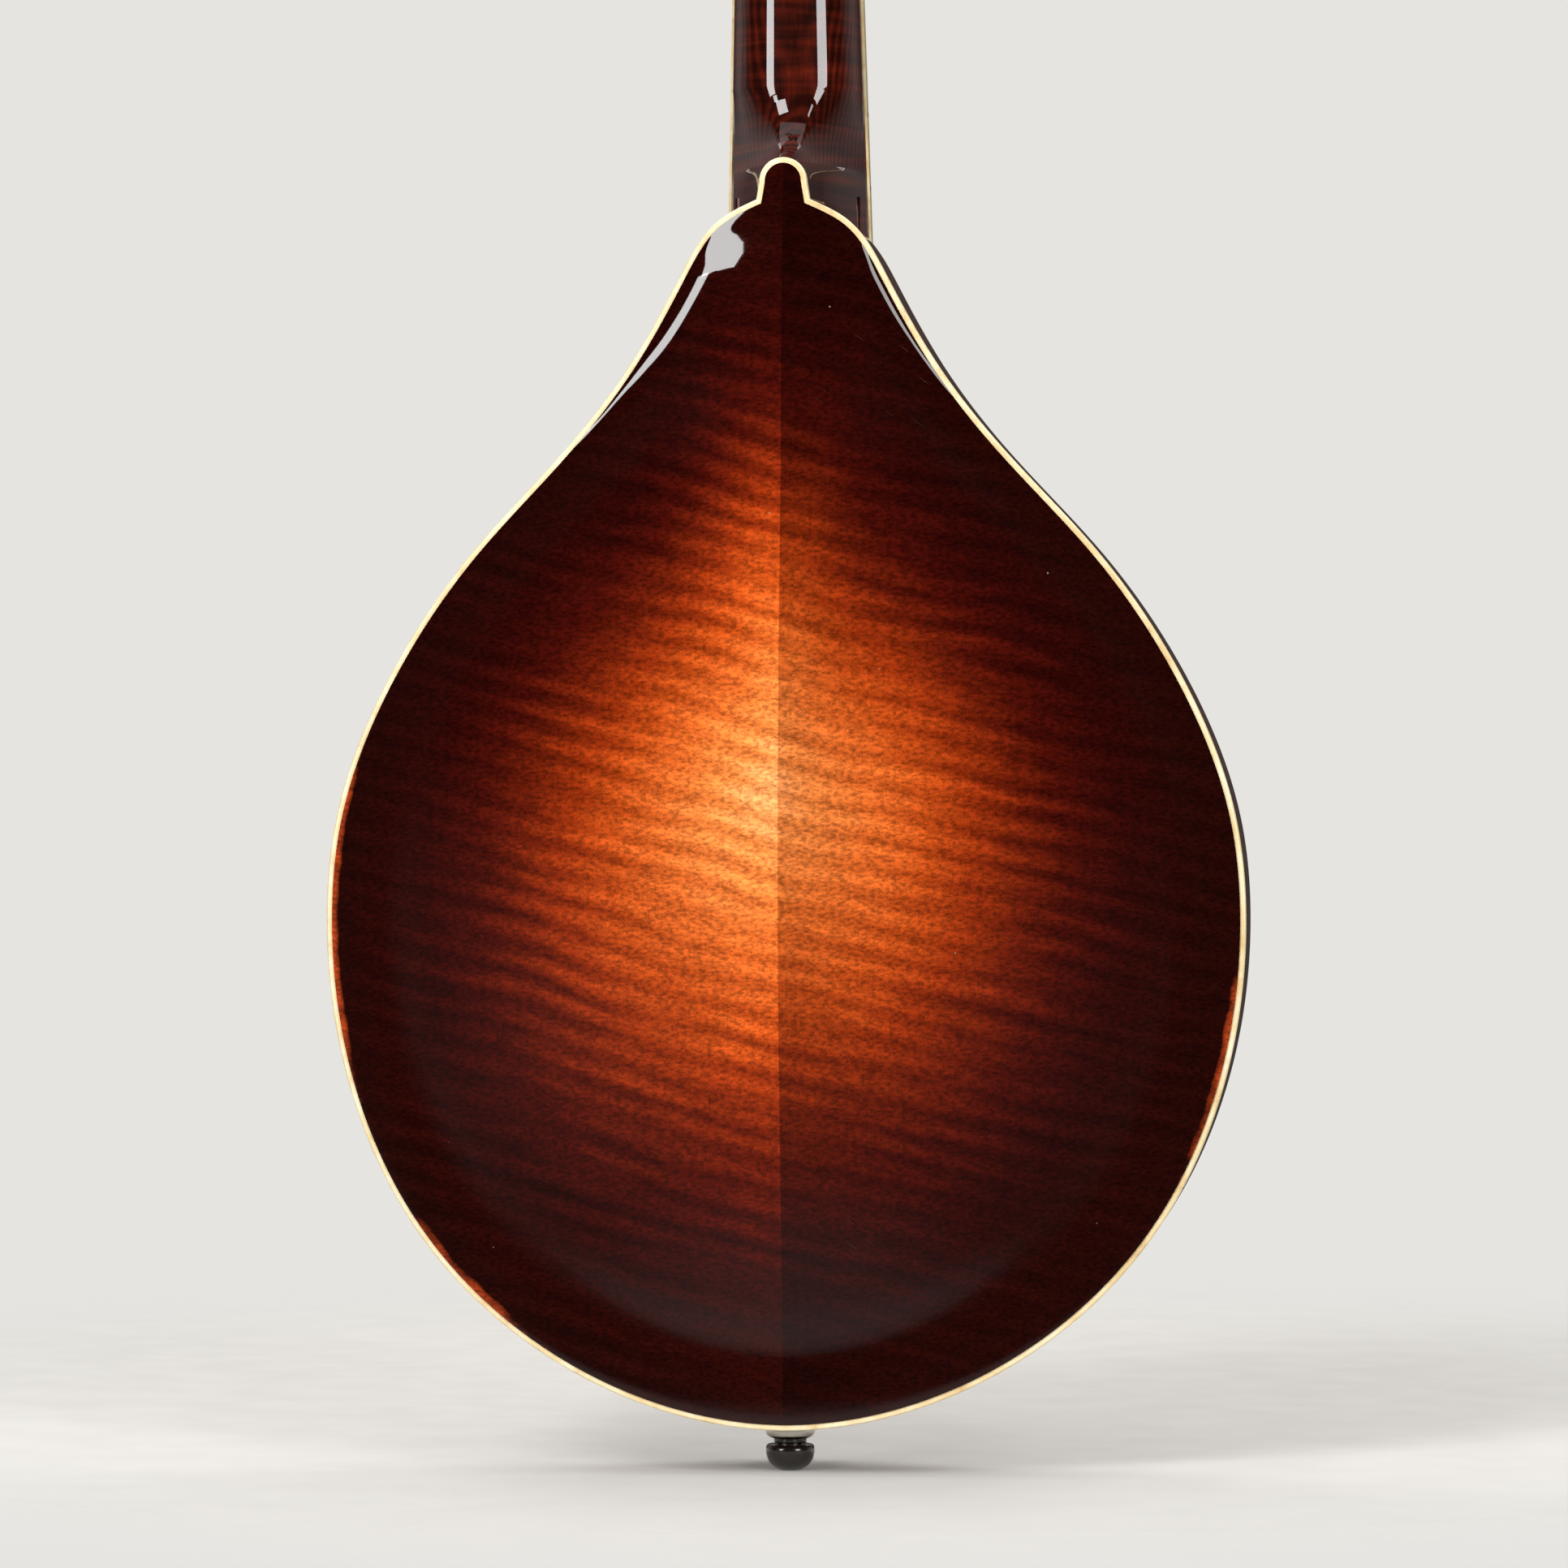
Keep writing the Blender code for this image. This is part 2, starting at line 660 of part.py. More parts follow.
def post_places():
    """(number, x, z) for the eight posts: 1 to 4 up the bass side, 5 to 8 up the treble side."""
    return [
        (4 * row + i + 1, side * POST_X, FIRST_POST + POST_SPACING * i)
        for row, side in enumerate((-1, 1))
        for i in range(4)
    ]


HEAD_START = 0.0125
# The blend from shaft to headstock: height, half width, depth, and squareness (2 is an ellipse)
BLEND = [
    (-0.0070, 0.0145, 0.0118, 2.0),
    (-0.0010, 0.0152, 0.0128, 2.4),
    (0.0060, 0.0159, 0.0129, 3.5),
    (0.0110, 0.0182, 0.01295, 6.0),
    (0.0150, 0.0222, 0.01298, 12.0),
]


def blend_ring(height, half_width, depth, squareness):
    """One section of the blend, in the headstock's frame."""
    low = OVERLAY + GAP + 0.00005
    half = []
    for i in range(PROFILE_STEPS + 1):
        turn = math.pi / 2 * i / PROFILE_STEPS
        across = half_width * max(math.cos(turn), 0) ** (2 / squareness)
        half.append((across, low + depth * math.sin(turn) ** (2 / squareness), height))
    half[-1] = (0, low + depth, height)
    return half + [(-x, y, z) for x, y, z in reversed(half[:-1])]


def neck(frames, envelope):
    """One piece of maple: shaft, heel, headstock, the tongue under the fingerboard and the dovetail."""
    body, head = frames["body_frame"], frames["head_frame"]
    rings = []
    for height in (*SHAFT_PLACES, *HEEL_PLACES):
        half = neck_section(height)
        whole = half + [(-x, y) for x, y in reversed(half[:-1])]
        rings.append([(x, y, height) for x, y in whole])
    piece = lofted("neck", rings, "dark_maple", body)
    wide = board_half_width(JOINT_DISTANCE) - TONGUE_INSET
    rings = []
    for z in (TONGUE_SHORT, TONGUE_SHORT - BODY_TOP_Z - BOARD_LENGTH):
        y = neck_face(z) + GAP
        rings.append([(-wide, y, z), (wide, y, z), (wide, 0.002, z), (-wide, 0.002, z)])
    fuse(piece, lofted("tongue", rings, "dark_maple", body))
    cut(piece, envelope)
    fuse(piece, tenon("tenon", 0, body))
    blend = lofted("headstock_blend", [blend_ring(*ring) for ring in BLEND], "dark_maple", head)
    low = OVERLAY + GAP
    headstock = slab("headstock", [head_outline(HEAD_START)], low, low + HEAD_THICKNESS, "dark_maple", head)
    fuse(headstock, blend)
    fuse(piece, headstock)
    for number, x, z in post_places():
        ends = (x, -0.01, z), (x, 0.03, z)
        cut(piece, rod(f"post_hole_cutter_{number}", *ends, POST_HOLE, 8, "ebony", head, True))
    smooth(piece)


def headstock_overlay(head):
    """The black veneer on the headstock's face, open where the posts come through."""
    holes = [circle(POST_HOLE, 8, x, z) for _, x, z in post_places()]
    slab("headstock_overlay", [head_outline(OVERLAY_START), *holes], 0, OVERLAY, "ebony", head)


def fret_distance(number):
    return SCALE_LENGTH * (1 - 2 ** (-number / 12))


FRETS = 20
FRET_HALF_WIDTH = (0.0010, 0.0006)
FRET_CROWN = 0.0010
FRET_SEAT = 0.0004
FRET_SHORT = 0.0002


def fingerboard(neck_frame):
    """The ebony board with its twenty frets, and the ivoroid strip round its two sides and its end."""
    start, end = 0.0003, BOARD_LENGTH - BOARD_BINDING - GAP
    margin = BOARD_BINDING + GAP
    edge = [(board_half_width(s) - margin, -s) for s in (start, end)]
    outline = edge + [(-x, z) for x, z in reversed(edge)]
    board = slab("fingerboard", [outline], -GAP - BOARD, -GAP, "ebony", neck_frame)
    crown = -GAP - BOARD
    foot, top = FRET_HALF_WIDTH
    low, high = crown + FRET_SEAT, crown - FRET_CROWN
    profile = [(-foot, low), (-top, high), (top, high), (foot, low)]
    frets = []
    for number in range(1, FRETS + 1):
        place = fret_distance(number)
        half = board_half_width(place) - margin - FRET_SHORT
        rings = [[(x, y, -place + z) for z, y in profile] for x in (-half, half)]
        frets.append(lofted(f"fret_{number}", rings, "nickel", neck_frame))
    fuse(board, *frets)

    wide = [(board_half_width(s), -s) for s in (start, BOARD_LENGTH)]
    wide.append((0, -BOARD_LENGTH))
    line = np.array(wide)
    wall("fingerboard_binding", line, crown, -GAP, BOARD_BINDING, "ivoroid", neck_frame, 1, True)


# Strings: name, course centre as a share of the spread, offset in the pair, diameter, post number
COURSE_SPREAD_NUT = 0.0230
COURSE_SPREAD_BRIDGE = 0.0410
PAIR_NUT = 0.0009
PAIR_BRIDGE = 0.0013
STRINGS = [
    ("string_g_outer", -0.5, -1, 0.00097, 1),
    ("string_g_inner", -0.5, 1, 0.00097, 2),
    ("string_d_outer", -1 / 6, -1, 0.00061, 3),
    ("string_d_inner", -1 / 6, 1, 0.00061, 4),
    ("string_a_inner", 1 / 6, -1, 0.00038, 8),
    ("string_a_outer", 1 / 6, 1, 0.00038, 7),
    ("string_e_inner", 0.5, -1, 0.00030, 6),
    ("string_e_outer", 0.5, 1, 0.00030, 5),
]
STRING_AT_NUT = BOARD + 0.0017
BRIDGE_DISTANCE = 0.3540
STRING_AT_BRIDGE = 0.0084
POST_RADIUS = 0.0030
POST_HEIGHT = 0.0115
WIND_HEIGHT = 0.0062


def string_across(course, offset, at_bridge):
    spread, pair = (COURSE_SPREAD_BRIDGE, PAIR_BRIDGE) if at_bridge else (COURSE_SPREAD_NUT, PAIR_NUT)
    return course * spread + offset * pair


NUT_ABOVE_STRING = 0.0006
NUT_LENGTH = 0.0052
SLOT_CLEARANCE = (0.00015, 0.0002)


def nut(neck_frame):
    """The bone nut, with eight slots that the strings lie in."""
    beside, below = SLOT_CLEARANCE
    top = -STRING_AT_NUT - NUT_ABOVE_STRING
    floor = -STRING_AT_NUT + below
    edge = [(-NUT_HALF_WIDTH, -GAP), (-NUT_HALF_WIDTH, top)]
    for _, course, offset, diameter, _ in STRINGS:
        x = string_across(course, offset, False)
        half = diameter / 2 + beside
        edge += [(x - half, top), (x - half * 0.6, floor), (x + half * 0.6, floor), (x + half, top)]
    edge += [(NUT_HALF_WIDTH, top), (NUT_HALF_WIDTH, -GAP)]
    lofted("nut", [[(x, y, z) for x, y in edge] for z in (GAP, NUT_LENGTH)], "bone", neck_frame)


def to_body(frame, point):
    """A point of another frame, in the body's frame."""
    return frame.matrix_world @ Vector(point) - Vector((0, BODY_FRONT_Y, BODY_TOP_Z))


BRIDGE_Z = -BRIDGE_DISTANCE * math.cos(NECK_PITCH) - BODY_TOP_Z
BRIDGE_TOP_Y = (
    -BRIDGE_DISTANCE * math.sin(NECK_PITCH) - STRING_AT_BRIDGE * math.cos(NECK_PITCH) - BODY_FRONT_Y
)
HOOK_Z = -0.3240
HOOK_Y = -0.0088
TAIL_SPREAD = 0.70


def strings(frames):
    """Eight strings, each one wire from its tailpiece hook over the bridge and the nut to its post."""
    body = frames["body_frame"]
    posts = {number: (x, z) for number, x, z in post_places()}
    for name, course, offset, diameter, post in STRINGS:
        at_bridge = string_across(course, offset, True)
        at_nut = string_across(course, offset, False)
        x, z = posts[post]
        tangent = x - math.copysign(POST_RADIUS + diameter / 2 + GAP, x)
        route = [
            Vector((at_bridge * TAIL_SPREAD, HOOK_Y, HOOK_Z)),
            Vector((at_bridge, BRIDGE_TOP_Y - diameter / 2, BRIDGE_Z)),
            to_body(frames["neck_frame"], (at_nut, -STRING_AT_NUT - diameter / 2, 0.0002)),
            to_body(frames["neck_frame"], (at_nut, -STRING_AT_NUT - diameter / 2, 0.0055)),
            to_body(frames["head_frame"], (tangent, -WIND_HEIGHT, z)),
        ]
        wire = bpy.data.curves.new(name, "CURVE")
        wire.dimensions = "3D"
        wire.bevel_depth = diameter / 2
        wire.bevel_resolution = 1
        wire.use_fill_caps = True
        line = wire.splines.new("POLY")
        line.points.add(len(route) - 1)
        for point, place in zip(line.points, route):
            point.co = (*place, 1)
        wire.materials.append(finish("string_wire"))
        made = bpy.data.objects.new(name, wire)
        collection("mandolin").objects.link(made)
        made.parent = body


# The bridge: a fixed foot, two threaded studs, two thumbwheels and the saddle that they carry

STUD_X = 0.0265
STUD_RADIUS = 0.0017
STUD_BORE = 0.0022
BASE_TOP = -0.0178
WHEEL = (-0.0194, -0.0214)
SADDLE_LOW = -0.0217
SADDLE_HALF_THICK = (0.0042, 0.0013)
FOOT_HALF_THICK = 0.0057


def bridge(body, envelope):
    """All the bridge's pieces. The foot is cut to the carved top that it stands on."""
    thick = FOOT_HALF_THICK
    foot_edge = [
        (0.0, -0.0140, thick),
        (0.0180, -0.0140, thick),
        (0.0230, -0.0110, thick),
        (0.0575, -0.0075, thick),
        (0.0580, -0.0125, thick),
        (0.0400, -0.0152, thick),
        (0.0340, BASE_TOP, thick),
        (0.0, BASE_TOP, thick),
    ]
    foot = across_piece("bridge_base", foot_edge, body)
    cut(foot, envelope)
    thick, crest = SADDLE_HALF_THICK
    top = BRIDGE_TOP_Y + 0.0004
    saddle_edge = [
        (0.0, SADDLE_LOW, thick),
        (0.0330, SADDLE_LOW, thick),
        (0.0430, -0.0235, thick),
        (0.0530, -0.0238, thick),
        (0.0545, -0.0256, 0.7 * thick),
        (0.0500, -0.0270, 0.5 * thick),
        (0.0300, top, crest),
        (0.0, top, crest),
    ]
    saddle = across_piece("bridge_saddle", saddle_edge, body)
    for name, side in SIDES.items():
        x = side * STUD_X
        ends = (x, -0.0200, BRIDGE_Z), (x, -0.0262, BRIDGE_Z)
        cut(saddle, rod(f"stud_bore_cutter_{name}", *ends, STUD_BORE, 8, "ebony", body, True))
        ends = (x, -0.0145, BRIDGE_Z), (x, -0.0190, BRIDGE_Z)
        cut(foot, rod(f"stud_socket_cutter_{name}", *ends, STUD_RADIUS + GAP, 8, "ebony", body, True))
        ends = (x, -0.0148, BRIDGE_Z), (x, -0.0236, BRIDGE_Z)
        rod(f"bridge_stud_{name}", *ends, STUD_RADIUS, 8, "nickel", body)
        thumbwheel(f"thumbwheel_{name}", x, body)
    smooth(saddle)
    smooth(foot)


def across_piece(name, half_edge, body):
    """A bridge piece drawn as the treble half of its face: X, Y and half of its thickness there."""
    edge = half_edge + [(-x, y, half) for x, y, half in reversed(half_edge) if x > 0]
    rings = [[(x, y, BRIDGE_Z + side * half) for x, y, half in edge] for side in (-1, 1)]
    return lofted(name, rings, "ebony", body)


WHEEL_TEETH = 14
WHEEL_RADII = (0.0067, 0.0072)
WHEEL_BORE = 0.0021


def thumbwheel(name, x, body):
    """A knurled wheel that turns on its stud and lifts the saddle."""
    rim_line = []
    for i in range(2 * WHEEL_TEETH):
        radius = WHEEL_RADII[i % 2]
        turn = math.pi * i / WHEEL_TEETH
        rim_line.append((radius * math.cos(turn), radius * math.sin(turn)))
    wheel = slab(name, [rim_line, circle(WHEEL_BORE, 8)], WHEEL[1], WHEEL[0], "nickel", body)
    wheel.location = (x, 0, BRIDGE_Z)


# The tail: the tailpiece, its cover and the end pin

PIN_HEAD = 0.0083
PIN_FACE = 0.0030
TRAY_LENGTH = 0.037
TAIL_SCREWS = (-0.013, 0.013)
TAIL_SLOPE = 0.143
TAIL_HALF_WIDTH = 0.0180
TAIL_METAL = 0.0010
TAIL = -BODY_LENGTH - GAP
TAB_HALF_WIDTH = 0.0070
TAB_CORNER = (0.0045, 0.0135)
BOSS = [(0, 0.0004), (0.0069, 0.0004), (0.0069, -0.0010), (0.0058, -0.0022), (0.0044, -0.0026), (0, -0.0026)]
HOOK_HALF_WIDTH = 0.0007
TAIL_SCREW_HOLE = 0.0013


def tab_outline():
    """The tailpiece's tab, seen from the tail: as wide as the tray at first, then a round-ended tongue."""
    corner, foot = TAB_CORNER
    half = [(TAIL_HALF_WIDTH, -0.0030), (TAIL_HALF_WIDTH, corner - 0.0020)]
    half.append((TAIL_HALF_WIDTH - 0.0020, corner))
    for turn in (0.9, 0.6, 0.3, 0.0):
        half.append((TAB_HALF_WIDTH + 0.0050 * (1 - math.cos(turn)), foot - 0.0070 * math.sin(turn)))
    for turn in (0.4, 0.8, 1.2):
        half.append((TAB_HALF_WIDTH * math.cos(turn), PIN_Y + TAB_HALF_WIDTH * math.sin(turn)))
    return half + [(-x, y) for x, y in reversed(half)]


def tailpiece(body):
    """The stamped tailpiece: a tab on the tail, a bend over the edge, a sloping tray and eight hooks."""
    end = TAIL + TRAY_LENGTH
    side = [(0.0020, TAIL), (-0.0030, TAIL), (-0.0052, TAIL + 0.0030), (-0.0052 - TAIL_SLOPE * 0.034, end)]
    outer = [
        (0.0020, TAIL - TAIL_METAL),
        (-0.0034, TAIL - TAIL_METAL),
        (-0.0052 - TAIL_METAL, TAIL + 0.0026),
        (-0.0052 - TAIL_METAL - TAIL_SLOPE * 0.034, end),
    ]
    profile = side + outer[::-1]
    rings = [[(x, y, z) for y, z in profile] for x in (-TAIL_HALF_WIDTH, TAIL_HALF_WIDTH)]
    plate = lofted("tailpiece", rings, "nickel", body)
    under = [(x, -y) for x, y in tab_outline()]
    tab = slab("tailpiece_tab", [under], TAIL - TAIL_METAL + 0.00002, TAIL - 0.00002, "nickel", body)
    tab.rotation_euler = (math.radians(90), 0, 0)
    boss = turned("tailpiece_boss", BOSS, 12, "nickel", body, (0, PIN_Y, TAIL - TAIL_METAL))
    hooks = []
    for name, course, offset, _, _ in STRINGS:
        x = string_across(course, offset, True) * TAIL_SPREAD
        low = (x - HOOK_HALF_WIDTH, HOOK_Y - 0.0012, HOOK_Z - 0.0030)
        high = (x + HOOK_HALF_WIDTH, -0.0060, HOOK_Z - 0.0010)
        hooks.append(block(name + "_hook", low, high, "nickel", body))
    fuse(plate, tab, boss, *hooks)
    ends = (0, PIN_Y, -0.36), (0, PIN_Y, -0.33)
    cut(plate, rod("tail_hole_cutter", *ends, PIN_BORE, 12, "ebony", body, True))
    for place in TAIL_SCREWS:
        start, end = (place, 0.0010, -0.36), (place, 0.0010, -0.33)
        cut(plate, rod(f"tail_screw_cutter_{place}", start, end, TAIL_SCREW_HOLE, 6, "ebony", body, True))


COVER_LENGTH = 0.040
COVER_METAL = 0.0007
COVER_RISE = 0.0072
# Across the cover: place as a share of its half width, and height as a share of its rise
COVER_ARCH = [(-1, 0.0), (-0.97, 0.62), (-0.75, 0.88), (-0.4, 0.97), (0, 1.0)]
COVER_ARCH += [(-a, rise) for a, rise in COVER_ARCH[-2::-1]]
# Along the cover from the tail: place as a share of its length, and how much of the rise it has
COVER_SWELL = [(0, 0.66), (0.10, 0.90), (0.30, 1.0), (0.80, 1.0), (1, 0.93)]


def tailpiece_cover(body):
    """The domed cover that slides over the hooks along the slope of the strings."""
    half = TAIL_HALF_WIDTH + GAP + COVER_METAL
    tail = -BODY_LENGTH + 0.0035
    rows = []
    for along, swell in COVER_SWELL:
        z = tail + along * COVER_LENGTH
        base = -0.0050 - TAIL_SLOPE * (z - tail)
        rows.append([(half * a, base - COVER_RISE * rise * swell, z) for a, rise in COVER_ARCH])
    n = len(COVER_ARCH)
    points = [point for row in rows for point in row]
    faces = []
    for k in range(len(rows) - 1):
        faces += [(a, a + n, a + n + 1, a + 1) for a in range(k * n, k * n + n - 1)]
    cover = mesh_piece("tailpiece_cover", points, faces, "nickel", body)
    shell(cover, -COVER_METAL)
    bake(cover)
    smooth(cover)


def end_pin(body):
    """The turned ebony pin that holds the tailpiece down and takes a strap."""
    out = TAIL - TAIL_METAL - 0.0029
    profile = [
        (0, out + 0.0230),
        (PIN_SHAFT - 0.0006, out + 0.0230),
        (PIN_SHAFT, out),
        (0.0046, out),
        (0.0045, out - 0.0013),
        (0.0063, out - 0.0013),
        (0.0068, out - 0.0025),
        (0.0065, out - 0.0048),
        (0.0052, out - 0.0070),
        (PIN_FACE, out - PIN_HEAD),
        (0, out - PIN_HEAD),
    ]
    pin = turned("end_pin", profile, 12, "ebony", body, (0, PIN_Y, 0))
    bake(pin)
    smooth(pin)


# The tuners: in the headstock's frame, posts run in Y and worm shafts run in X

GEAR_TEETH = 12
WORM_PITCH = 0.0019
GEAR_PITCH_RADIUS = GEAR_TEETH * WORM_PITCH / (2 * math.pi)
WORM_ROOT = 0.0014
WORM_CREST = 0.0024
WORM_FOOT = 0.00085
WORM_SIDES = 8
WORM_TURNS = 2
CENTRE_DISTANCE = GEAR_PITCH_RADIUS + 0.0020
HEAD_BACK = OVERLAY + GAP + HEAD_THICKNESS
PLATE_BACK = HEAD_BACK + GAP + 0.0010
GEAR_Y = (PLATE_BACK + 0.0018, PLATE_BACK + 0.0042)
SHAFT_Y = (GEAR_Y[0] + GEAR_Y[1]) / 2
PLATE_REACH = (0.0112, 0.0290)
PLATE_ENDS = (FIRST_POST - 0.0100, FIRST_POST + 3 * POST_SPACING + 0.0120)
PLATE_NICK = 0.0015
PLATE_HOLE = 0.0035
LUG = 0.0012
LUG_REACH = 0.0026
LUG_PLACES = (0.0138, 0.0262)
SHAFT_BORE = 0.00155


def tuner_plates(head):
    """Two nickel plates, each with four pairs of lugs that carry the worm shafts."""
    low, high = PLATE_ENDS
    nick = PLATE_NICK
    for name, side in SIDES.items():
        x0, x1 = sorted(side * x for x in PLATE_REACH)
        edge = [(x0 + nick, low), (x1 - nick, low), (x1, low + nick), (x1, high - nick)]
        edge += [(x1 - nick, high), (x0 + nick, high), (x0, high - nick), (x0, low + nick)]
        places = [(number, x, z) for number, x, z in post_places() if x * side > 0]
        holes = [circle(PLATE_HOLE, 8, x, z) for _, x, z in places]
        plate = slab(f"tuner_plate_{name}", [edge, *holes], HEAD_BACK + GAP, PLATE_BACK, "nickel", head)
        lugs, bores = [], []
        for number, _, z in places:
            shaft_z = z + CENTRE_DISTANCE
            for place in LUG_PLACES:
                a, b = sorted((side * (place - LUG / 2), side * (place + LUG / 2)))
                corner = (a, PLATE_BACK - 0.0005, shaft_z - LUG_REACH)
                opposite = (b, SHAFT_Y + LUG_REACH, shaft_z + LUG_REACH)
                lugs.append(block(f"lug_{number}_{place}", corner, opposite, "nickel", head))
            ends = (side * 0.0125, SHAFT_Y, shaft_z), (side * 0.0275, SHAFT_Y, shaft_z)
            bores.append(rod(f"shaft_bore_cutter_{number}", *ends, SHAFT_BORE, 6, "ebony", head, True))
        fuse(plate, *lugs)
        cut(plate, *bores)


def worm_rings():
    """Points and faces of the worm along +Z, with a plain ring below it and one above it, which stay open."""
    n = WORM_SIDES
    length = WORM_TURNS * n
    points = []

    def row(radius, count, height):
        first = len(points)
        for k in range(count):
            turn = 2 * math.pi * k / n
            points.append((radius * math.cos(turn), radius * math.sin(turn), height(k)))
        return first

    foot = row(WORM_ROOT, length + 1, lambda k: WORM_PITCH * (k / n + 0.5) - WORM_FOOT / 2)
    crest = row(WORM_CREST, length + 1, lambda k: WORM_PITCH * (k / n + 0.5))
    heel = row(WORM_ROOT, length + 1, lambda k: WORM_PITCH * (k / n + 0.5) + WORM_FOOT / 2)
    low = row(WORM_ROOT, n, lambda k: 0)
    high = row(WORM_ROOT, n, lambda k: WORM_PITCH * (WORM_TURNS + 1))
    faces = []
    for k in range(length):
        faces.append((foot + k, foot + k + 1, crest + k + 1, crest + k))
        faces.append((crest + k, crest + k + 1, heel + k + 1, heel + k))
    faces += [(heel + k, heel + k + 1, foot + k + 1 + n, foot + k + n) for k in range(length - n)]
    faces += [(low + k, low + k + 1, foot + k + 1, foot + k) for k in range(n - 1)]
    faces.append((low + n - 1, low, foot, heel, foot + n, foot + n - 1))
    last = length - n
    faces.append((heel + last, heel + last + 1, high + 1, high, heel + length, foot + length))
    faces += [(heel + last + k, heel + last + k + 1, high + (k + 1) % n, high + k) for k in range(1, n)]
    faces += [(foot, crest, heel), (foot + length, heel + length, crest + length)]
    return points, faces, low, high


BUTTON_RINGS = [
    (0.0026, 0.0026, 0.0000),
    (0.0048, 0.0036, 0.0012),
    (0.0068, 0.0042, 0.0042),
    (0.0074, 0.0044, 0.0075),
    (0.0064, 0.0040, 0.0105),
    (0.0036, 0.0026, 0.0122),
]
BUTTON_START = 0.0350
JOURNAL = 0.00118


def tuner_key(number, x, z, head):
    """A worm, its shaft and the ivoroid button on the end, drawn along +Z and laid outwards along X."""
    points, faces, low, high = worm_rings()
    n = WORM_SIDES
    inner = LUG_PLACES[0] - LUG / 2 - 0.0008
    worm_start = POST_X - 1.5 * WORM_PITCH

    def ring(wide, deep, height):
        first = len(points)
        for k in range(n):
            turn = 2 * math.pi * k / n
            points.append((wide * math.cos(turn), deep * math.sin(turn), height - worm_start))
        return first

    def join(a, b):
        faces.extend((a + k, a + (k + 1) % n, b + (k + 1) % n, b + k) for k in range(n))

    shoulder = ring(JOURNAL, JOURNAL, LUG_PLACES[0] + LUG / 2 + 0.0003)
    tail = ring(JOURNAL, JOURNAL, inner)
    join(tail, shoulder)
    join(shoulder, low)
    faces.append(tuple(tail + k for k in range(n))[::-1])
    previous = high
    outer = [(JOURNAL, JOURNAL, LUG_PLACES[1] - LUG / 2 - 0.0003), (JOURNAL, JOURNAL, BUTTON_START)]
    outer += [(wide, deep, BUTTON_START + up) for deep, wide, up in BUTTON_RINGS]
    for size in outer:
        current = ring(*size)
        join(previous, current)
        previous = current
    faces.append(tuple(previous + k for k in range(n)))
    side = 1 if x > 0 else -1
    key = mesh_piece(f"tuner_key_{number}", points, faces, "nickel", head)
    recalculate(key)
    key.location = (side * worm_start, SHAFT_Y, z + CENTRE_DISTANCE)
    key.rotation_euler = (0, math.radians(90), 0 if side > 0 else math.radians(180))
    smooth(key)


def string_post(number, x, z, head):
    """A post with its gear wheel, and the bands where the string is wound."""
    teeth = []
    tip, root = GEAR_PITCH_RADIUS + 0.0005, GEAR_PITCH_RADIUS - 0.00055
    step = 2 * math.pi / GEAR_TEETH
    for k in range(GEAR_TEETH):
        middle = math.pi / 2 + step * (k + 0.5)
        for radius, share in ((root, -0.28), (tip, -0.10), (tip, 0.10), (root, 0.28)):
            turn = middle + share * step
            teeth.append((radius * math.cos(turn), radius * math.sin(turn)))
    wheel = slab(f"gear_{number}", [teeth], GEAR_Y[0], GEAR_Y[1], "nickel", head)
    wheel.location = (x, 0, z)
    profile = [
        (0, POST_HEIGHT),
        (POST_RADIUS - 0.0008, POST_HEIGHT),
        (POST_RADIUS, POST_HEIGHT - 0.0008),
        (POST_RADIUS, -GEAR_Y[1] - 0.0006),
        (POST_RADIUS - 0.0006, -GEAR_Y[1] - 0.0010),
        (0, -GEAR_Y[1] - 0.0010),
    ]
    post = turned(f"string_post_{number}", profile, 8, "nickel", head, (x, 0, z), "-Y")
    bake(post)
    fuse(post, wheel)
    smooth(post)


def body_envelope(body):
    """A cutter a gap larger than the body, whose front follows the carved top: it fits neck and bridge."""
    outer = inset(half_outline(), -GAP)
    line = np.vstack([[(0, GAP), (outer[0][0] / 2, GAP)], outer])
    points, faces = plate_grid(line, lambda p: -arch_height(np.minimum(edge_share(p), 1), TOP_ARCH) - GAP)
    back = [(x, BODY_DEPTH + 0.005, z) for x, z in line]
    start = len(points)
    points = np.vstack([points, back])
    faces += [(start + i, start + i + 1, i + 1, i) for i in range(len(line) - 1)]
    faces.append(tuple(start + i for i in range(len(line)))[::-1])
    piece = mesh_piece("body_envelope_cutter", points, faces, "ebony", body, cutter=True)
    mirror = piece.modifiers.new("mirror", "MIRROR")
    mirror.merge_threshold = 0.00001
    mirror.use_clip = True
    bake(piece)
    recalculate(piece, merge=0.000005)
    return piece


def main():
    frames = start_scene()
    bpy.context.view_layer.update()
    body, neck_frame, head = frames["body_frame"], frames["neck_frame"], frames["head_frame"]
    envelope = body_envelope(body)
    back_plates(body)
    soundboard(body)
    rim(body)
    brace(body)
    neck(frames, envelope)
    headstock_overlay(head)
    fingerboard(neck_frame)
    nut(neck_frame)
    bridge(body, envelope)
    tailpiece(body)
    tailpiece_cover(body)
    end_pin(body)
    tuner_plates(head)
    for number, x, z in post_places():
        tuner_key(number, x, z, head)
        string_post(number, x, z, head)
    strings(frames)


main()
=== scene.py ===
"""The looks of a pear-shaped mandolin with a flamed sunburst back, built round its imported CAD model."""

import math
import random

import bmesh
import bpy
import numpy as np
from mathutils import Matrix, Vector


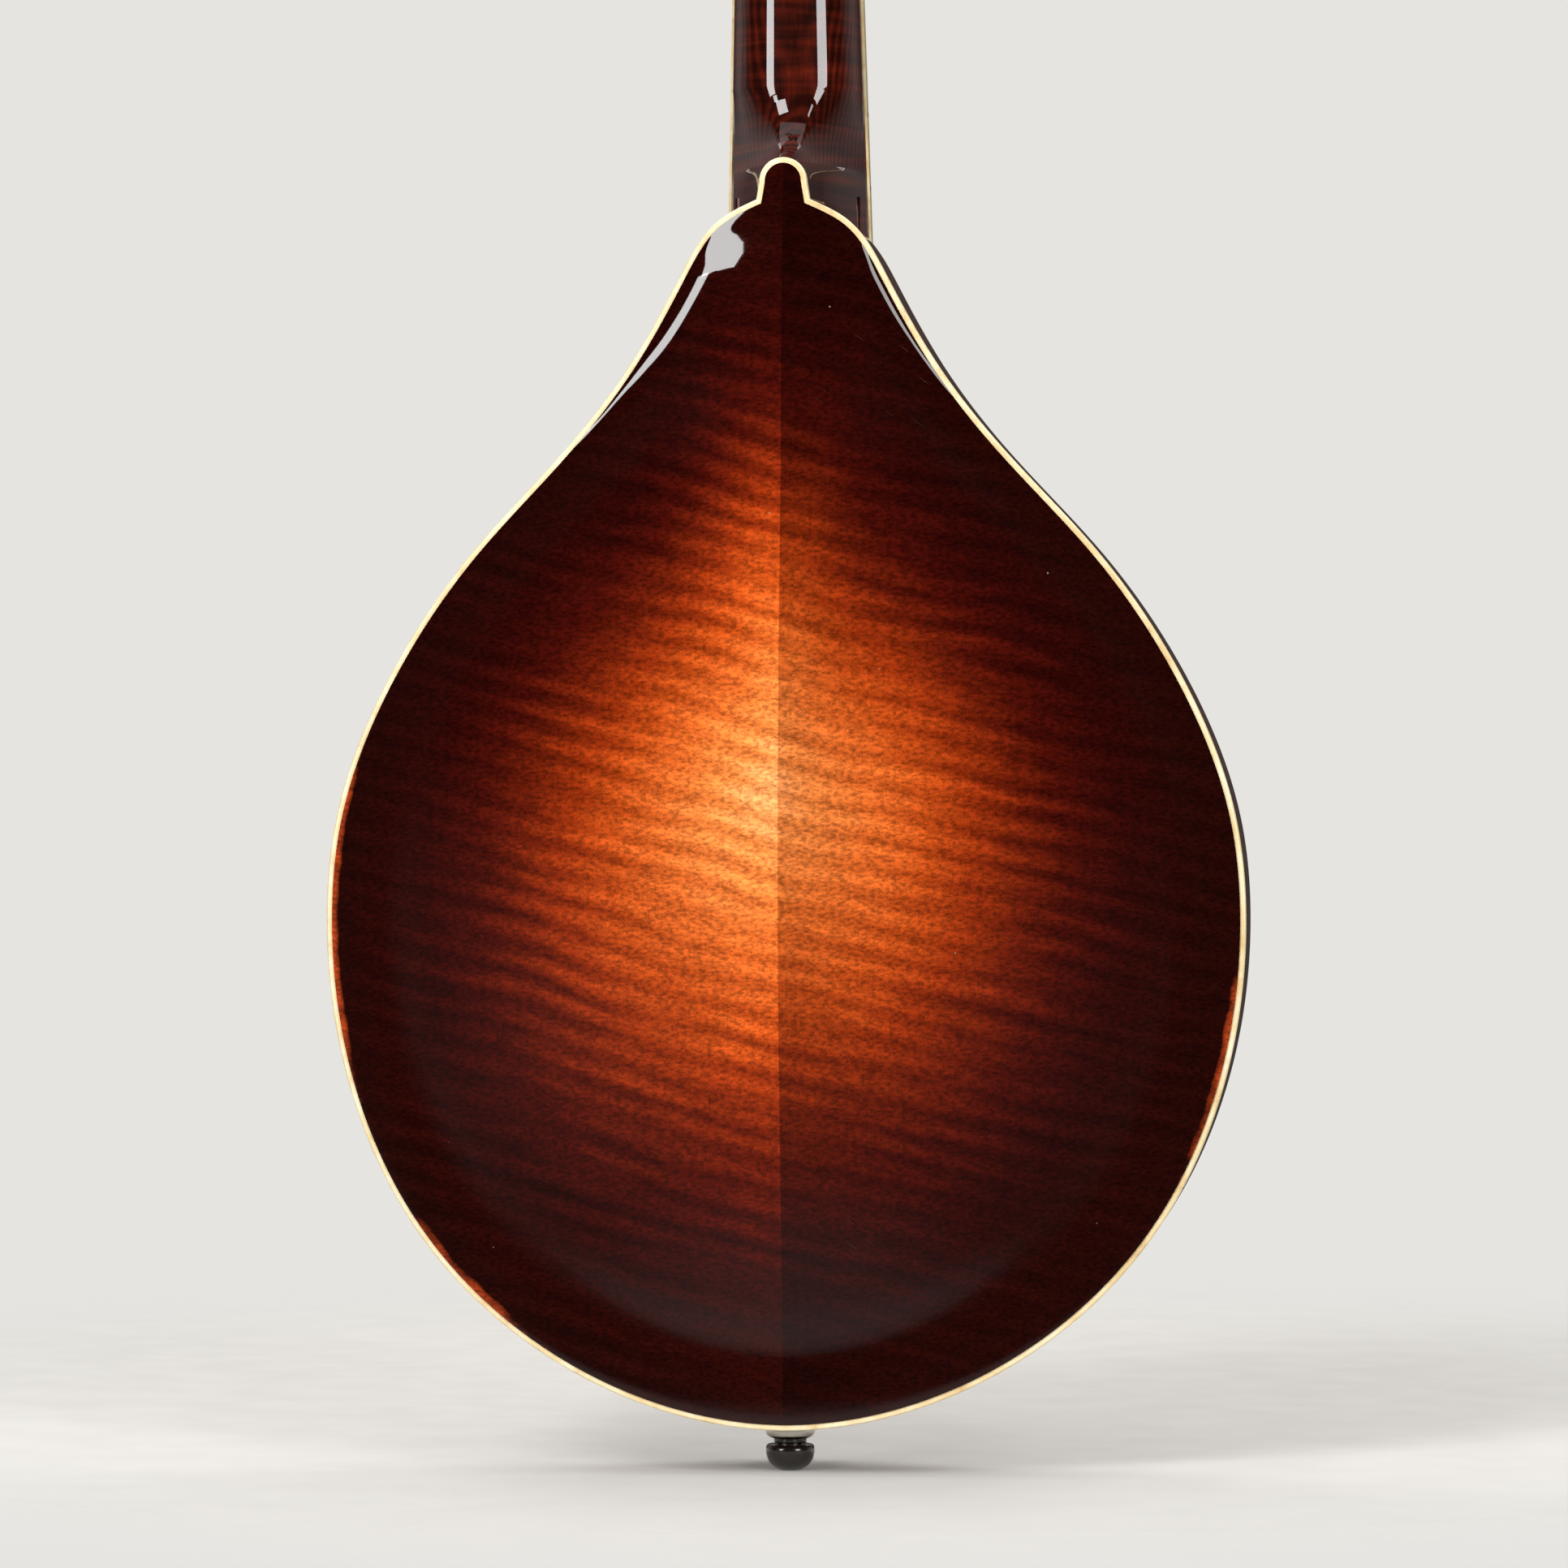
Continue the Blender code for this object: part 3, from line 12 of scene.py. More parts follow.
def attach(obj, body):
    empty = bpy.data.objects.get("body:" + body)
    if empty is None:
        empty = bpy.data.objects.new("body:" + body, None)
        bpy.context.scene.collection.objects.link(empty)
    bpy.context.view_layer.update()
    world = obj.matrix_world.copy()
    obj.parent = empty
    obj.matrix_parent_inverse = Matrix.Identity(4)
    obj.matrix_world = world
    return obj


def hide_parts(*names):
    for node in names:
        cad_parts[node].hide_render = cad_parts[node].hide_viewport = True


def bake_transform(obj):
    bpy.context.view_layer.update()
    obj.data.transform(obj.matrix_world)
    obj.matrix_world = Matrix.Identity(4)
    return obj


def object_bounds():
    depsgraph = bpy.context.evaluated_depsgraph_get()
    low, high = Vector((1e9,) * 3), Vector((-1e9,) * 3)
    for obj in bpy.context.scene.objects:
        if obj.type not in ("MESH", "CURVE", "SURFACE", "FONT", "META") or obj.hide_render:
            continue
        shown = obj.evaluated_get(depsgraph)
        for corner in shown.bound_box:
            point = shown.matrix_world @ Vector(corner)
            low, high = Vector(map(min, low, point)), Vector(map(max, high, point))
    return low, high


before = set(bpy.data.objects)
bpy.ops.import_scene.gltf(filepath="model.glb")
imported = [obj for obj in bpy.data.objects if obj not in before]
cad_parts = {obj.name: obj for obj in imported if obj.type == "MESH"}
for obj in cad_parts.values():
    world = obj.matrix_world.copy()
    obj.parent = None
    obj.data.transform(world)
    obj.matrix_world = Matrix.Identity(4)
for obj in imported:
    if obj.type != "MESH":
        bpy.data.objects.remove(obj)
cad_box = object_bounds()


# The carved back: two halves of flamed maple, glued on the centre line and carved to an arch that
# sinks into a shallow hollow before the rim. Each half carries its half of the button that caps
# the heel. It is stained from amber to near black and sprayed with clear lacquer.

SCALE_LENGTH = 0.3524
NECK_PITCH = math.radians(5)
NECK_RISE = 0.0048
JOINT = SCALE_LENGTH / 2
BODY_TOP_Z = -JOINT * math.cos(NECK_PITCH)
BODY_FRONT_Y = -JOINT * math.sin(NECK_PITCH) + NECK_RISE
BODY = Matrix.Translation((0, BODY_FRONT_Y, BODY_TOP_Z))
BODY_DEPTH = 0.041
PLATE_EDGE = 0.0035
BACK_ARCH = 0.0130
ARCH_CENTRE = -0.185
BACK_RINGS = 60
BINDING = 0.0016
GLUE_LINE = 0.00004
BUTTON_RADIUS = 0.0066
BUTTON_HEIGHT = 0.0116
BUTTON_STEPS = 24
# Half of the outline from the button's corner to the tail: across, and down from the neck joint
OUTLINE = [
    (0.0074, 0.0), (0.0182, -0.0060), (0.0288, -0.0215), (0.0432, -0.0465), (0.0612, -0.0694),
    (0.0858, -0.0962), (0.1099, -0.1320), (0.1245, -0.1710), (0.1270, -0.1990), (0.1219, -0.2395),
    (0.1017, -0.2842), (0.0630, -0.3200), (0.0, -0.3384),
]


def curve_through(knots, last, count, crowding=1.0):
    """Points on the natural cubic spline through the knots, as far as knot number last."""
    knots = np.array(knots)
    place = np.concatenate(([0], np.cumsum(np.linalg.norm(np.diff(knots, axis=0), axis=1))))
    step = np.diff(place)
    slopes = np.diff(knots, axis=0) / step[:, None]
    system = np.eye(len(knots))
    right = np.zeros_like(knots)
    for i in range(1, len(knots) - 1):
        system[i, i - 1 : i + 2] = step[i - 1], 2 * (step[i - 1] + step[i]), step[i]
        right[i] = 6 * (slopes[i] - slopes[i - 1])
    bend = np.linalg.solve(system, right)
    fine = np.linspace(0, place[last], 4000)
    i = np.clip(np.searchsorted(place, fine, side="right") - 1, 0, len(step) - 1)
    near = ((place[i + 1] - fine) / step[i])[:, None]
    far = 1 - near
    sag = ((near**3 - near) * bend[i] + (far**3 - far) * bend[i + 1]) * step[i][:, None] ** 2 / 6
    line = near * knots[i] + far * knots[i + 1] + sag
    travelled = np.concatenate(([0], np.cumsum(np.linalg.norm(np.diff(line, axis=0), axis=1))))
    places = travelled[-1] * np.linspace(0, 1, count) ** crowding
    return np.column_stack([np.interp(places, travelled, line[:, k]) for k in range(2)])


def half_outline(count=220):
    """The body's edge on the treble side, from the button's corner to the tail."""
    mirrored = [(-x, z) for x, z in reversed(OUTLINE[-3:-1])]
    return curve_through(OUTLINE + mirrored, len(OUTLINE) - 1, count, 1.15)


def half_button():
    """The button's edge from the top of its arc to just above its corner."""
    centre = BUTTON_HEIGHT - BUTTON_RADIUS
    turns = np.linspace(0, math.pi / 2, BUTTON_STEPS)
    return np.column_stack([BUTTON_RADIUS * np.sin(turns), centre + BUTTON_RADIUS * np.cos(turns)])


def inset(line, distance):
    """The line moved inwards. Ends on the centre line stay on it."""
    line = np.array(line)
    before = np.vstack([line[1] * (-1, 1) if line[0][0] < 1e-9 else 2 * line[0] - line[1], line[:-1]])
    after = np.vstack([line[1:], line[-2] * (-1, 1) if line[-1][0] < 1e-9 else 2 * line[-1] - line[-2]])
    sides = []
    for start, end in ((before, line), (line, after)):
        along = (end - start) / np.linalg.norm(end - start, axis=1)[:, None]
        sides.append(np.column_stack([along[:, 1], -along[:, 0]]))
    both = sides[0] + sides[1]
    return line + distance * both / (1 + (sides[0] * sides[1]).sum(axis=1))[:, None]


EDGE = np.vstack([(0, 0), half_outline(400)])
RIM = half_outline(1200)
# Shares of the way from the arch's centre to the edge: where the dome ends, the hollow's middle and
# width, and where the scraping down to the binding starts
DOME_END = 0.88
HOLLOW_AT, HOLLOW_WIDTH, HOLLOW_DEPTH = 0.86, 0.045, 0.0004
SCRAPED_FROM, EDGE_DROP = 0.968, 0.0006
# The shoulders' swell, how wide it rolls over, and between which heights below the joint it comes and goes
SHOULDER_SWELL = 0.0032
SHOULDER_WIDTH = 0.017
SHOULDER_COMES = (0.0, 0.022)
SHOULDER_GOES = (0.028, 0.085)


def share_from(points, centre):
    """How far out each point is from a place on the centre line: 0 there and 1 at the body's edge."""
    angles = np.arctan2(EDGE[:, 0], EDGE[:, 1] - centre)
    reach = np.hypot(EDGE[:, 0], EDGE[:, 1] - centre)
    across, up = np.abs(points[:, 0]), points[:, 1] - centre
    return np.hypot(across, up) / np.interp(np.arctan2(across, up), angles, reach)


def arch_height(points, arch):
    """A carved plate's height above its edge: a dome that sinks into a shallow hollow before the rim."""
    share = share_from(points, ARCH_CENTRE)
    dome = 0.5 + 0.5 * np.cos(np.pi * np.clip(share / DOME_END, 0, 1))
    hollow = HOLLOW_DEPTH * np.exp(-(((share - HOLLOW_AT) / HOLLOW_WIDTH) ** 2))
    return arch * dome**0.7 - hollow - EDGE_DROP * np.clip((share - SCRAPED_FROM) / 0.032, 0, 1) ** 3


def smooth(value, start, end):
    """0 up to start and 1 from end on, with a soft rise between them."""
    t = np.clip((value - start) / (end - start), 0, 1)
    return t * t * (3 - 2 * t)


def shoulder_height(points):
    """What the back's shoulders have over the arch: beside the button they roll over towards the rim."""
    # A soft mean of the distances to the rim makes no crease. It comes out long, hence 0.7 and 2.2 mm
    reach = [np.mean(np.hypot(RIM[:, 0] - x, RIM[:, 1] - z) ** -8.0) ** -0.125 for x, z in points]
    gap = np.clip(0.7 * np.array(reach) - 0.0022, 0, 1)
    roll = 1 - (1 - np.clip(gap / SHOULDER_WIDTH, 0, 1)) ** 2
    below = -points[:, 1]
    return SHOULDER_SWELL * roll * smooth(below, *SHOULDER_COMES) * (1 - smooth(below, *SHOULDER_GOES))


def quads(rows, count, rows_close=False, close=False):
    """Faces between rows of count points. The last row can join the first, and each row its own start."""
    faces = []
    for k in range(rows if rows_close else rows - 1):
        here, there = k * count, (k + 1) % rows * count
        for i in range(count if close else count - 1):
            after = (i + 1) % count
            faces.append((here + i, here + after, there + after, there + i))
    return faces


def lifted(flat, y, side=1):
    """Points of a flat drawing, stood at y. side -1 mirrors them."""
    return np.column_stack([side * flat[:, 0], np.broadcast_to(y, len(flat)), flat[:, 1]])


def thick(points, faces, move):
    """Closes an open surface into a plate: the same surface moved, and a wall round its edge."""
    n = len(points)
    used = {(a, b) for face in faces for a, b in zip(face, face[1:] + face[:1])}
    rim = [(a, b) for a, b in sorted(used) if (b, a) not in used]
    under = [tuple(i + n for i in reversed(face)) for face in faces]
    return np.vstack([points, points + move]), faces + under + [(b, a, a + n, b + n) for a, b in rim]


def closed_mesh(name, points, faces, place, values=None, weld=True):
    """A mesh whose faces all look outwards. values are numbers at its points that its material reads."""
    mesh = bpy.data.meshes.new(name)
    mesh.from_pydata([tuple(p) for p in points], [], [tuple(f) for f in faces])
    for value, numbers in (values or {}).items():
        mesh.attributes.new(value, "FLOAT", "POINT").data.foreach_set("value", np.array(numbers, np.float32))
    mesh.transform(place)
    solid = bmesh.new()
    solid.from_mesh(mesh)
    if weld:
        bmesh.ops.remove_doubles(solid, verts=solid.verts, dist=0.0000005)
    bmesh.ops.recalc_face_normals(solid, faces=solid.faces)
    solid.to_mesh(mesh)
    solid.free()
    return mesh


def shade_smooth(mesh, sharp):
    mesh.shade_smooth()
    mesh.set_sharp_from_angle(angle=math.radians(sharp))


def new_object(name, data):
    made = bpy.data.objects.new(name, data)
    bpy.context.scene.collection.objects.link(made)
    return made


def make(name, points, faces, place, look, body="body", instead_of=(), sharp=35, values=None):
    """A smooth-shaded piece that rides a body, and stands for CAD nodes if any are named."""
    mesh = closed_mesh(name, points, faces, place, values)
    shade_smooth(mesh, sharp)
    mesh.materials.append(look)
    made = new_object(name, mesh)
    if body:
        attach(made, body)
    if instead_of:
        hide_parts(*instead_of)
    return made


def ringed(line, rings):
    """Points and faces of half a plate: the line drawn in towards the arch's centre in that many rings."""
    centre = np.array((0, ARCH_CENTRE))
    shares = [1.0, 0.997, 0.993, 0.989, 0.984, 0.978, *np.linspace(0.970, 1 / rings, rings)]
    flat = np.vstack([centre + share * (line - centre) for share in shares] + [centre])
    n = len(line)
    last = (len(shares) - 1) * n
    return flat, quads(len(shares), n) + [(last + i, last + i + 1, len(flat) - 1) for i in range(n - 1)]


def hex_colour(text):
    """An sRGB colour such as #c8641e as linear values."""
    parts = [int(text[i : i + 2], 16) / 255 for i in (1, 3, 5)]
    return (*[p / 12.92 if p <= 0.04045 else ((p + 0.055) / 1.055) ** 2.4 for p in parts], 1)


def start_look(name, **sockets):
    """A new material: its node tree and its shader, with the sockets that are the same all over."""
    look = bpy.data.materials.new(name)
    look.use_nodes = True
    shader = look.node_tree.nodes["Principled BSDF"]
    for socket, value in sockets.items():
        shader.inputs[socket.replace("_", " ")].default_value = value
    return look, look.node_tree, shader


def add(tree, kind, *values, out=0, stops=(), **settings):
    """A node with its settings and links: values go into its sockets in order, or by name from a dict.

    stops are a ramp's places with their sRGB colours. What comes back is the node's output
    out, or all of them for None.
    """
    made = tree.nodes.new("ShaderNode" + kind)
    for name, value in settings.items():
        setattr(made, name, value)
    if stops:
        band = made.color_ramp.elements
        while len(band) < len(stops):
            band.new(0.5)
        for element, (place, colour) in zip(band, stops):
            element.position = place
            element.color = hex_colour(colour)
    sockets = values[0] if values and isinstance(values[0], dict) else dict(enumerate(values))
    for socket, value in sockets.items():
        if isinstance(value, bpy.types.NodeSocket):
            tree.links.new(value, made.inputs[socket])
        else:
            made.inputs[socket].default_value = value
    return made.outputs if out is None else made.outputs[out]


def waves(tree, value, apart):
    """Waves that distance apart along the value."""
    return add(
        tree, "Math", add(tree, "Math", value, 2 * math.pi / apart, operation="MULTIPLY"), operation="SINE",
    )


def noise(tree, place, scale, detail, **more):
    """Noise of one scale, or of one for each axis."""
    if isinstance(scale, tuple):
        place, scale = add(tree, "VectorMath", place, scale, operation="MULTIPLY"), 1.0
    return add(tree, "TexNoise", {"Vector": place, "Scale": scale, "Detail": detail, **more})


def shaded(tree, colour, shade):
    """The colour made lighter or darker by a number."""
    tint = add(tree, "CombineColor", {0: shade, 1: shade, 2: shade})
    return add(tree, "Mix", {0: 1.0, 6: colour, 7: tint}, out=2, data_type="RGBA", blend_type="MULTIPLY")


def relief(tree, shader, height, strength, depth=0.0001):
    """A fine roughness that the light shows."""
    bump = add(tree, "Bump", {"Height": height, "Strength": strength, "Distance": depth})
    tree.links.new(bump, shader.inputs["Normal"])


# Wood that is filled and lacquered has one glossy surface: the lacquer's
UNDER_LACQUER = {
    "Specular_IOR_Level": 0.0, "IOR": 1.5, "Roughness": 0.42, "Coat_Weight": 1.0, "Coat_IOR": 1.5,
}


# Hard maple, book-sawn with curl: bands 8 mm apart that catch the light, and fine silky rays between
# them. Clear nitrocellulose lacquer over it is a glassy coat that reflects the studio.
def burst_maple(name, slope, seam_light, seed):
    look, tree, shader = start_look(name, **UNDER_LACQUER, Coat_Roughness=0.035)
    place = add(tree, "TexCoord", out="Object")
    axes = add(tree, "SeparateXYZ", place, out=None)
    lean = add(tree, "Math", axes["X"], -slope, axes["Z"], operation="MULTIPLY_ADD")
    along = add(tree, "Math", noise(tree, place, (22, 0, 34), 1.0), 0.008, lean, operation="MULTIPLY_ADD")
    # Curl bands 8 mm apart, that fade in and out every 40 mm
    lengthwise = add(tree, "CombineXYZ", {0: axes["X"], 2: along})
    strength = add(tree, "MapRange", noise(tree, lengthwise, (26, 0, 60), 0.0), 0.34, 0.64, 0.20, 0.95)
    wide = add(tree, "Math", waves(tree, along, 0.0079), strength, operation="MULTIPLY")
    # Narrow curls 3 to 6 mm apart with ragged ends
    curl = noise(tree, lengthwise, (30 + seed, 0, 290), 3.0, Roughness=0.55, Distortion=0.25)
    narrow = add(tree, "MapRange", curl, 0.30, 0.70, -1.0, 1.0)
    both = add(tree, "Math", narrow, 0.60, wide, operation="MULTIPLY_ADD")
    # The stain: the figure pushes its bands in and out
    patch = noise(tree, place, (30, 0, 30), 2.0)
    uneven = add(
        tree, "Math", patch, 0.07, add(tree, "Attribute", out="Fac", attribute_name="burst"),
        operation="MULTIPLY_ADD",
    )
    stain = add(
        tree, "ValToRGB", add(tree, "Math", both, -0.030, uneven, operation="MULTIPLY_ADD"),
        stops=(
            (0.03, "#f59c5c"), (0.15, "#e67e3a"), (0.28, "#cf6024"), (0.40, "#b04413"), (0.50, "#8c2c0a"),
            (0.60, "#601806"), (0.70, "#400a04"), (0.82, "#2a0503"), (1.0, "#1f0402"),
        ),
    )
    # Where the binding was scraped and rubbed, the stain is worn to a thin red-orange line
    rub = add(
        tree, "Math", noise(tree, place, 130.0, 3.0), 0.6,
        add(tree, "Attribute", out="Fac", attribute_name="worn"), operation="MULTIPLY_ADD",
    )
    stain = add(
        tree, "Mix", {0: add(tree, "MapRange", rub, 0.75, 1.15), 6: stain, 7: hex_colour("#b4431a")}, out=2,
        data_type="RGBA",
    )
    # Silk: short flecks, really 0.5 mm, drawn 1.5 mm long and 0.8 mm high so that they show, and
    # long, faint vessel lines 0.6 mm apart
    rays = add(
        tree, "MapRange", noise(tree, place, (640, 40, 1200), 2.0, Roughness=0.7), 0.34, 0.66, 0.58, 1.46,
    )
    vessel = noise(tree, place, (1300, 40, 26), 2.0)
    shade = add(
        tree, "Math", rays, add(tree, "MapRange", vessel, 0.28, 0.55, 0.93, 1.02), operation="MULTIPLY",
    )
    shade = add(
        tree, "Math", shade, add(tree, "MapRange", both, -1.3, 1.3, 0.74, 1.18), operation="MULTIPLY",
    )
    # Painted light: the two halves of the log catch the light differently, so by the seam the colour is painted
    # lighter on one half and darker on the other
    by_seam = add(tree, "Math", axes["X"], operation="ABSOLUTE")
    painted_seam_light = add(tree, "MapRange", by_seam, 0.0, 0.034, seam_light, 1.0, interpolation_type="SMOOTHSTEP")
    colour = shaded(tree, stain, add(tree, "Math", shade, painted_seam_light, operation="MULTIPLY"))
    # Play wear: a few pale nicks 0.4 mm wide, and hair scratches 6 mm long where the body rubs the player
    dots = add(tree, "TexVoronoi", {"Vector": place, "Scale": 62.0}, out="Distance")
    nick = add(tree, "MapRange", dots, 0.010, 0.020, 0.55, 0.0)
    slanted = add(tree, "Mapping", {"Vector": place, "Rotation": (0, math.radians(38), 0)})
    hair_at = add(tree, "VectorMath", slanted, (38, 60, 1900), operation="MULTIPLY")
    hairs = add(tree, "TexVoronoi", {"Vector": hair_at, "Scale": 1.0}, out="Distance")
    rubbed = add(tree, "MapRange", noise(tree, place, 9.0, 2.0), 0.62, 0.70)
    hair = add(
        tree, "Math", add(tree, "MapRange", hairs, 0.03, 0.09, 0.30, 0.0), rubbed, operation="MULTIPLY",
    )
    colour = add(
        tree, "Mix",
        {0: add(tree, "Math", nick, hair, operation="MAXIMUM"), 6: colour, 7: hex_colour("#b98f78")}, out=2,
        data_type="RGBA",
    )
    tree.links.new(colour, shader.inputs["Base Color"])
    # The lacquer has sunk a little into the vessels
    relief(tree, shader, vessel, 0.05)
    return look


BURST_CENTRE = -0.162
BASS_DARKER = 0.045
BUTTON_STAIN = 0.9
# How much the stain is rubbed along the rim, by height below the joint, on each side
WORN = {
    1: [
        (-0.330, 0.25), (-0.300, 0.75), (-0.265, 0.35), (-0.225, 0.8),
        (-0.165, 0.8), (-0.140, 0.3), (-0.06, 0.15),
    ],
    -1: [(-0.330, 0.15), (-0.280, 0.25), (-0.245, 0.75), (-0.220, 0.75), (-0.200, 0.25), (-0.06, 0.1)],
}
# seam_light paints the treble half lighter by the seam (1.24) and the bass half darker (0.78): painted light
for name, side, look in (
    ("back_treble", 1, burst_maple("flamed_maple_treble", 0.27, 1.24, 0)),
    ("back_bass", -1, burst_maple("flamed_maple_bass", 0.22, 0.78, 7)),
):
    edge = inset(np.vstack([half_button(), half_outline()]), BINDING + GLUE_LINE)
    corner = edge[BUTTON_STEPS]
    base = [(corner[0] * i / BUTTON_STEPS, corner[1]) for i in range(BUTTON_STEPS)]
    flat, faces = ringed(np.vstack([base, edge[BUTTON_STEPS:]]), BACK_RINGS)
    start = len(flat)
    flat = np.vstack([flat, edge[:BUTTON_STEPS]])
    on_plate = np.arange(len(flat)) < start
    height = np.where(on_plate, arch_height(flat, BACK_ARCH) + shoulder_height(flat), -EDGE_DROP)
    faces += [(start + i, start + i + 1, i + 1, i) for i in range(BUTTON_STEPS - 1)]
    faces.append((start + BUTTON_STEPS - 1, BUTTON_STEPS, BUTTON_STEPS - 1))
    depth = share_from(flat, BURST_CENTRE) + (BASS_DARKER if side < 0 else 0)
    burst = np.where(on_plate, depth, BUTTON_STAIN)
    rubbed = np.interp(flat[:, 1], *zip(*WORN[side]))
    by_rim = np.interp(share_from(flat, ARCH_CENTRE), (0.960, 0.978, 0.990), (0, 0.8, 1))
    worn = rubbed * by_rim * (burst > 0.5)
    points, faces = thick(lifted(flat, BODY_DEPTH + height, side), faces, (0, -PLATE_EDGE, 0))
    node_name = "back_plate_" + name[5:]
    values = {"burst": [*burst, *burst], "worn": [*worn, *worn]}
    make(name, points, faces, BODY, look, instead_of=[node_name], values=values)


# The bindings: a strip of ivoroid bent round the top's edge and another round the back and its
# button, glued into a ledge and scraped flush, with the outer corner rounded over.

RIB_START = 0.0094
BINDING_ROUND = 0.0007
PROUD = 0.00003


def bar_faces(lines, count):
    """Faces of a bar with that many lines of count points along it, closed at both ends."""
    starts = [k * count for k in range(lines)]
    ends = [start + count - 1 for start in reversed(starts)]
    return quads(lines, count, rows_close=True) + [tuple(starts), tuple(ends)]


def strip(line, section, closed=True):
    """Points and faces of a strip round the body's edge: the line is its treble half, and section is
    (distance inwards, y) going round. closed joins the ends of the two halves at the top."""
    rows = []
    for distance, y in section:
        half = inset(line, distance)
        other = half[-2:0:-1] if closed else half[-2::-1]
        flat = np.vstack([half, other * (-1, 1)])
        rows.append(lifted(flat, y))
    n, m = len(rows[0]), len(rows)
    return np.vstack(rows), quads(m, n, True, True) if closed else bar_faces(m, n)


def trimmed(line, half_width):
    """The line from where it is first that far from the centre."""
    first = int(np.argmax(line[:, 0] > half_width))
    before, after = line[first - 1], line[first]
    start = before + (after - before) * (half_width - before[0]) / (after[0] - before[0])
    return np.vstack([start, line[first:]])


def rounded_edge(radius, count=5):
    """A quarter circle that rounds an edge over: how far each point is from the side and from the top."""
    turns = np.linspace(0, math.pi / 2, count)
    return [(radius * (1 - math.cos(a)), radius * (1 - math.sin(a))) for a in turns]


# Aged ivoroid is celluloid with faint straight grain, gone from white to cream under yellowed lacquer
sockets = {"Roughness": 0.35, "IOR": 1.5, "Coat_Weight": 0.6, "Coat_Roughness": 0.08}
ivoroid, tree, shader = start_look("aged_ivoroid", **sockets)
place = add(tree, "TexCoord", out="Object")
grain = noise(tree, place, (60, 2600, 60), 2.0)
cream = add(tree, "ValToRGB", grain, stops=((0.30, "#e9cf9b"), (0.50, "#f7e4b8"), (0.70, "#fdf0cd")))
dirt = noise(tree, place, 160.0, 4.0, Roughness=0.7)
grime = add(tree, "ValToRGB", dirt, stops=((0.30, "#b88a55"), (0.42, "#f1ddb4"), (0.60, "#ffffff")))
tree.links.new(
    add(tree, "Mix", {0: 0.5, 6: cream, 7: grime}, out=2, data_type="RGBA", blend_type="MULTIPLY"),
    shader.inputs["Base Color"],
)

edge_y, ledge_y = BODY_DEPTH - EDGE_DROP, BODY_DEPTH - PLATE_EDGE
corner = [(aside, edge_y - deep) for aside, deep in rounded_edge(BINDING_ROUND)]
section = [(BINDING, ledge_y), (0, ledge_y), *corner, (BINDING, edge_y + PROUD)]
whole = np.vstack([half_button(), half_outline()])
make("binding_back", *strip(whole, section), BODY, ivoroid, instead_of=["back_binding"])
corner = [(aside, EDGE_DROP + deep) for aside, deep in rounded_edge(BINDING_ROUND)]
section = [(BINDING, PLATE_EDGE), (0, PLATE_EDGE), *corner, (BINDING, EDGE_DROP - PROUD)]
open_line = trimmed(half_outline(), RIB_START)
make("binding_top", *strip(open_line, section, False), BODY, ivoroid, instead_of=["top_binding"])


# The ribs: two strips of flamed maple bent over a hot iron, which meet at the tail and are glued
# to the linings inside. The stain is darkest by the bindings.

RIB = 0.0024

rib_look, tree, shader = start_look("flamed_maple_ribs", **UNDER_LACQUER, Coat_Roughness=0.05)
deep = add(tree, "Attribute", out="Fac", attribute_name="deep")
place = add(tree, "CombineXYZ", {0: add(tree, "Attribute", out="Fac", attribute_name="along"), 1: deep})
curl = noise(tree, place, (190, 0.9, 1), 3.0, Distortion=0.6)
bow = add(tree, "Math", add(tree, "Math", deep, 0.5, operation="SUBTRACT"), operation="ABSOLUTE")
tone = add(tree, "Math", curl, -0.42, bow, operation="MULTIPLY_ADD")
tone = add(tree, "Math", noise(tree, place, (30, 60, 1), 3.0), -0.12, tone, operation="MULTIPLY_ADD")
tone = add(tree, "Math", tone, 0.30, operation="ADD")
stain = add(
    tree, "ValToRGB", tone,
    stops=((0.0, "#8c3413"), (0.12, "#6a220d"), (0.28, "#431207"), (0.5, "#2a0804")),
)
tree.links.new(stain, shader.inputs["Base Color"])

low, high = PLATE_EDGE + GLUE_LINE, BODY_DEPTH - PLATE_EDGE - GLUE_LINE
travelled = np.concatenate(([0], np.cumsum(np.linalg.norm(np.diff(open_line, axis=0), axis=1))))
heights = np.linspace(low, high, 9)
rows = [(0, y) for y in heights] + [(RIB, y) for y in heights[::-1]]
across_rib = [(y - low) / (high - low) for _, y in rows]
n, m = len(open_line), len(rows)
for name, side in (("rib_of_treble", 1), ("rib_of_bass", -1)):
    lines = [(inset(open_line, distance), y) for distance, y in rows]
    points = np.vstack([lifted(line, y, side) for line, y in lines])
    values = {"along": np.tile(side * travelled, m), "deep": np.repeat(across_rib, n)}
    make(name, points, bar_faces(m, n), BODY, rib_look, instead_of=["rib_" + name[7:]], values=values)


# Inside: end blocks, linings and the cross brace are bare spruce, left as they came from the plane
# and the knife. They show only through the sound hole.


def grained(name, scale, detail, stops, sockets, bump=None, polish=None, **more):
    """A material with one noise in its colour. bump is a relief's strength and depth, and polish the
    roughness at the noise's low end and at its high end."""
    look, tree, shader = start_look(name, **sockets)
    grain = noise(tree, add(tree, "TexCoord", out="Object"), scale, detail, **more)
    tree.links.new(add(tree, "ValToRGB", grain, stops=stops), shader.inputs["Base Color"])
    if bump:
        relief(tree, shader, grain, *bump)
    if polish:
        tree.links.new(add(tree, "MapRange", grain, 0.3, 0.7, *polish), shader.inputs["Roughness"])
    return look


def dress(names, look):
    """Gives CAD nodes a finer material."""
    for name in names:
        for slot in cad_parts[name].material_slots:
            slot.material = look


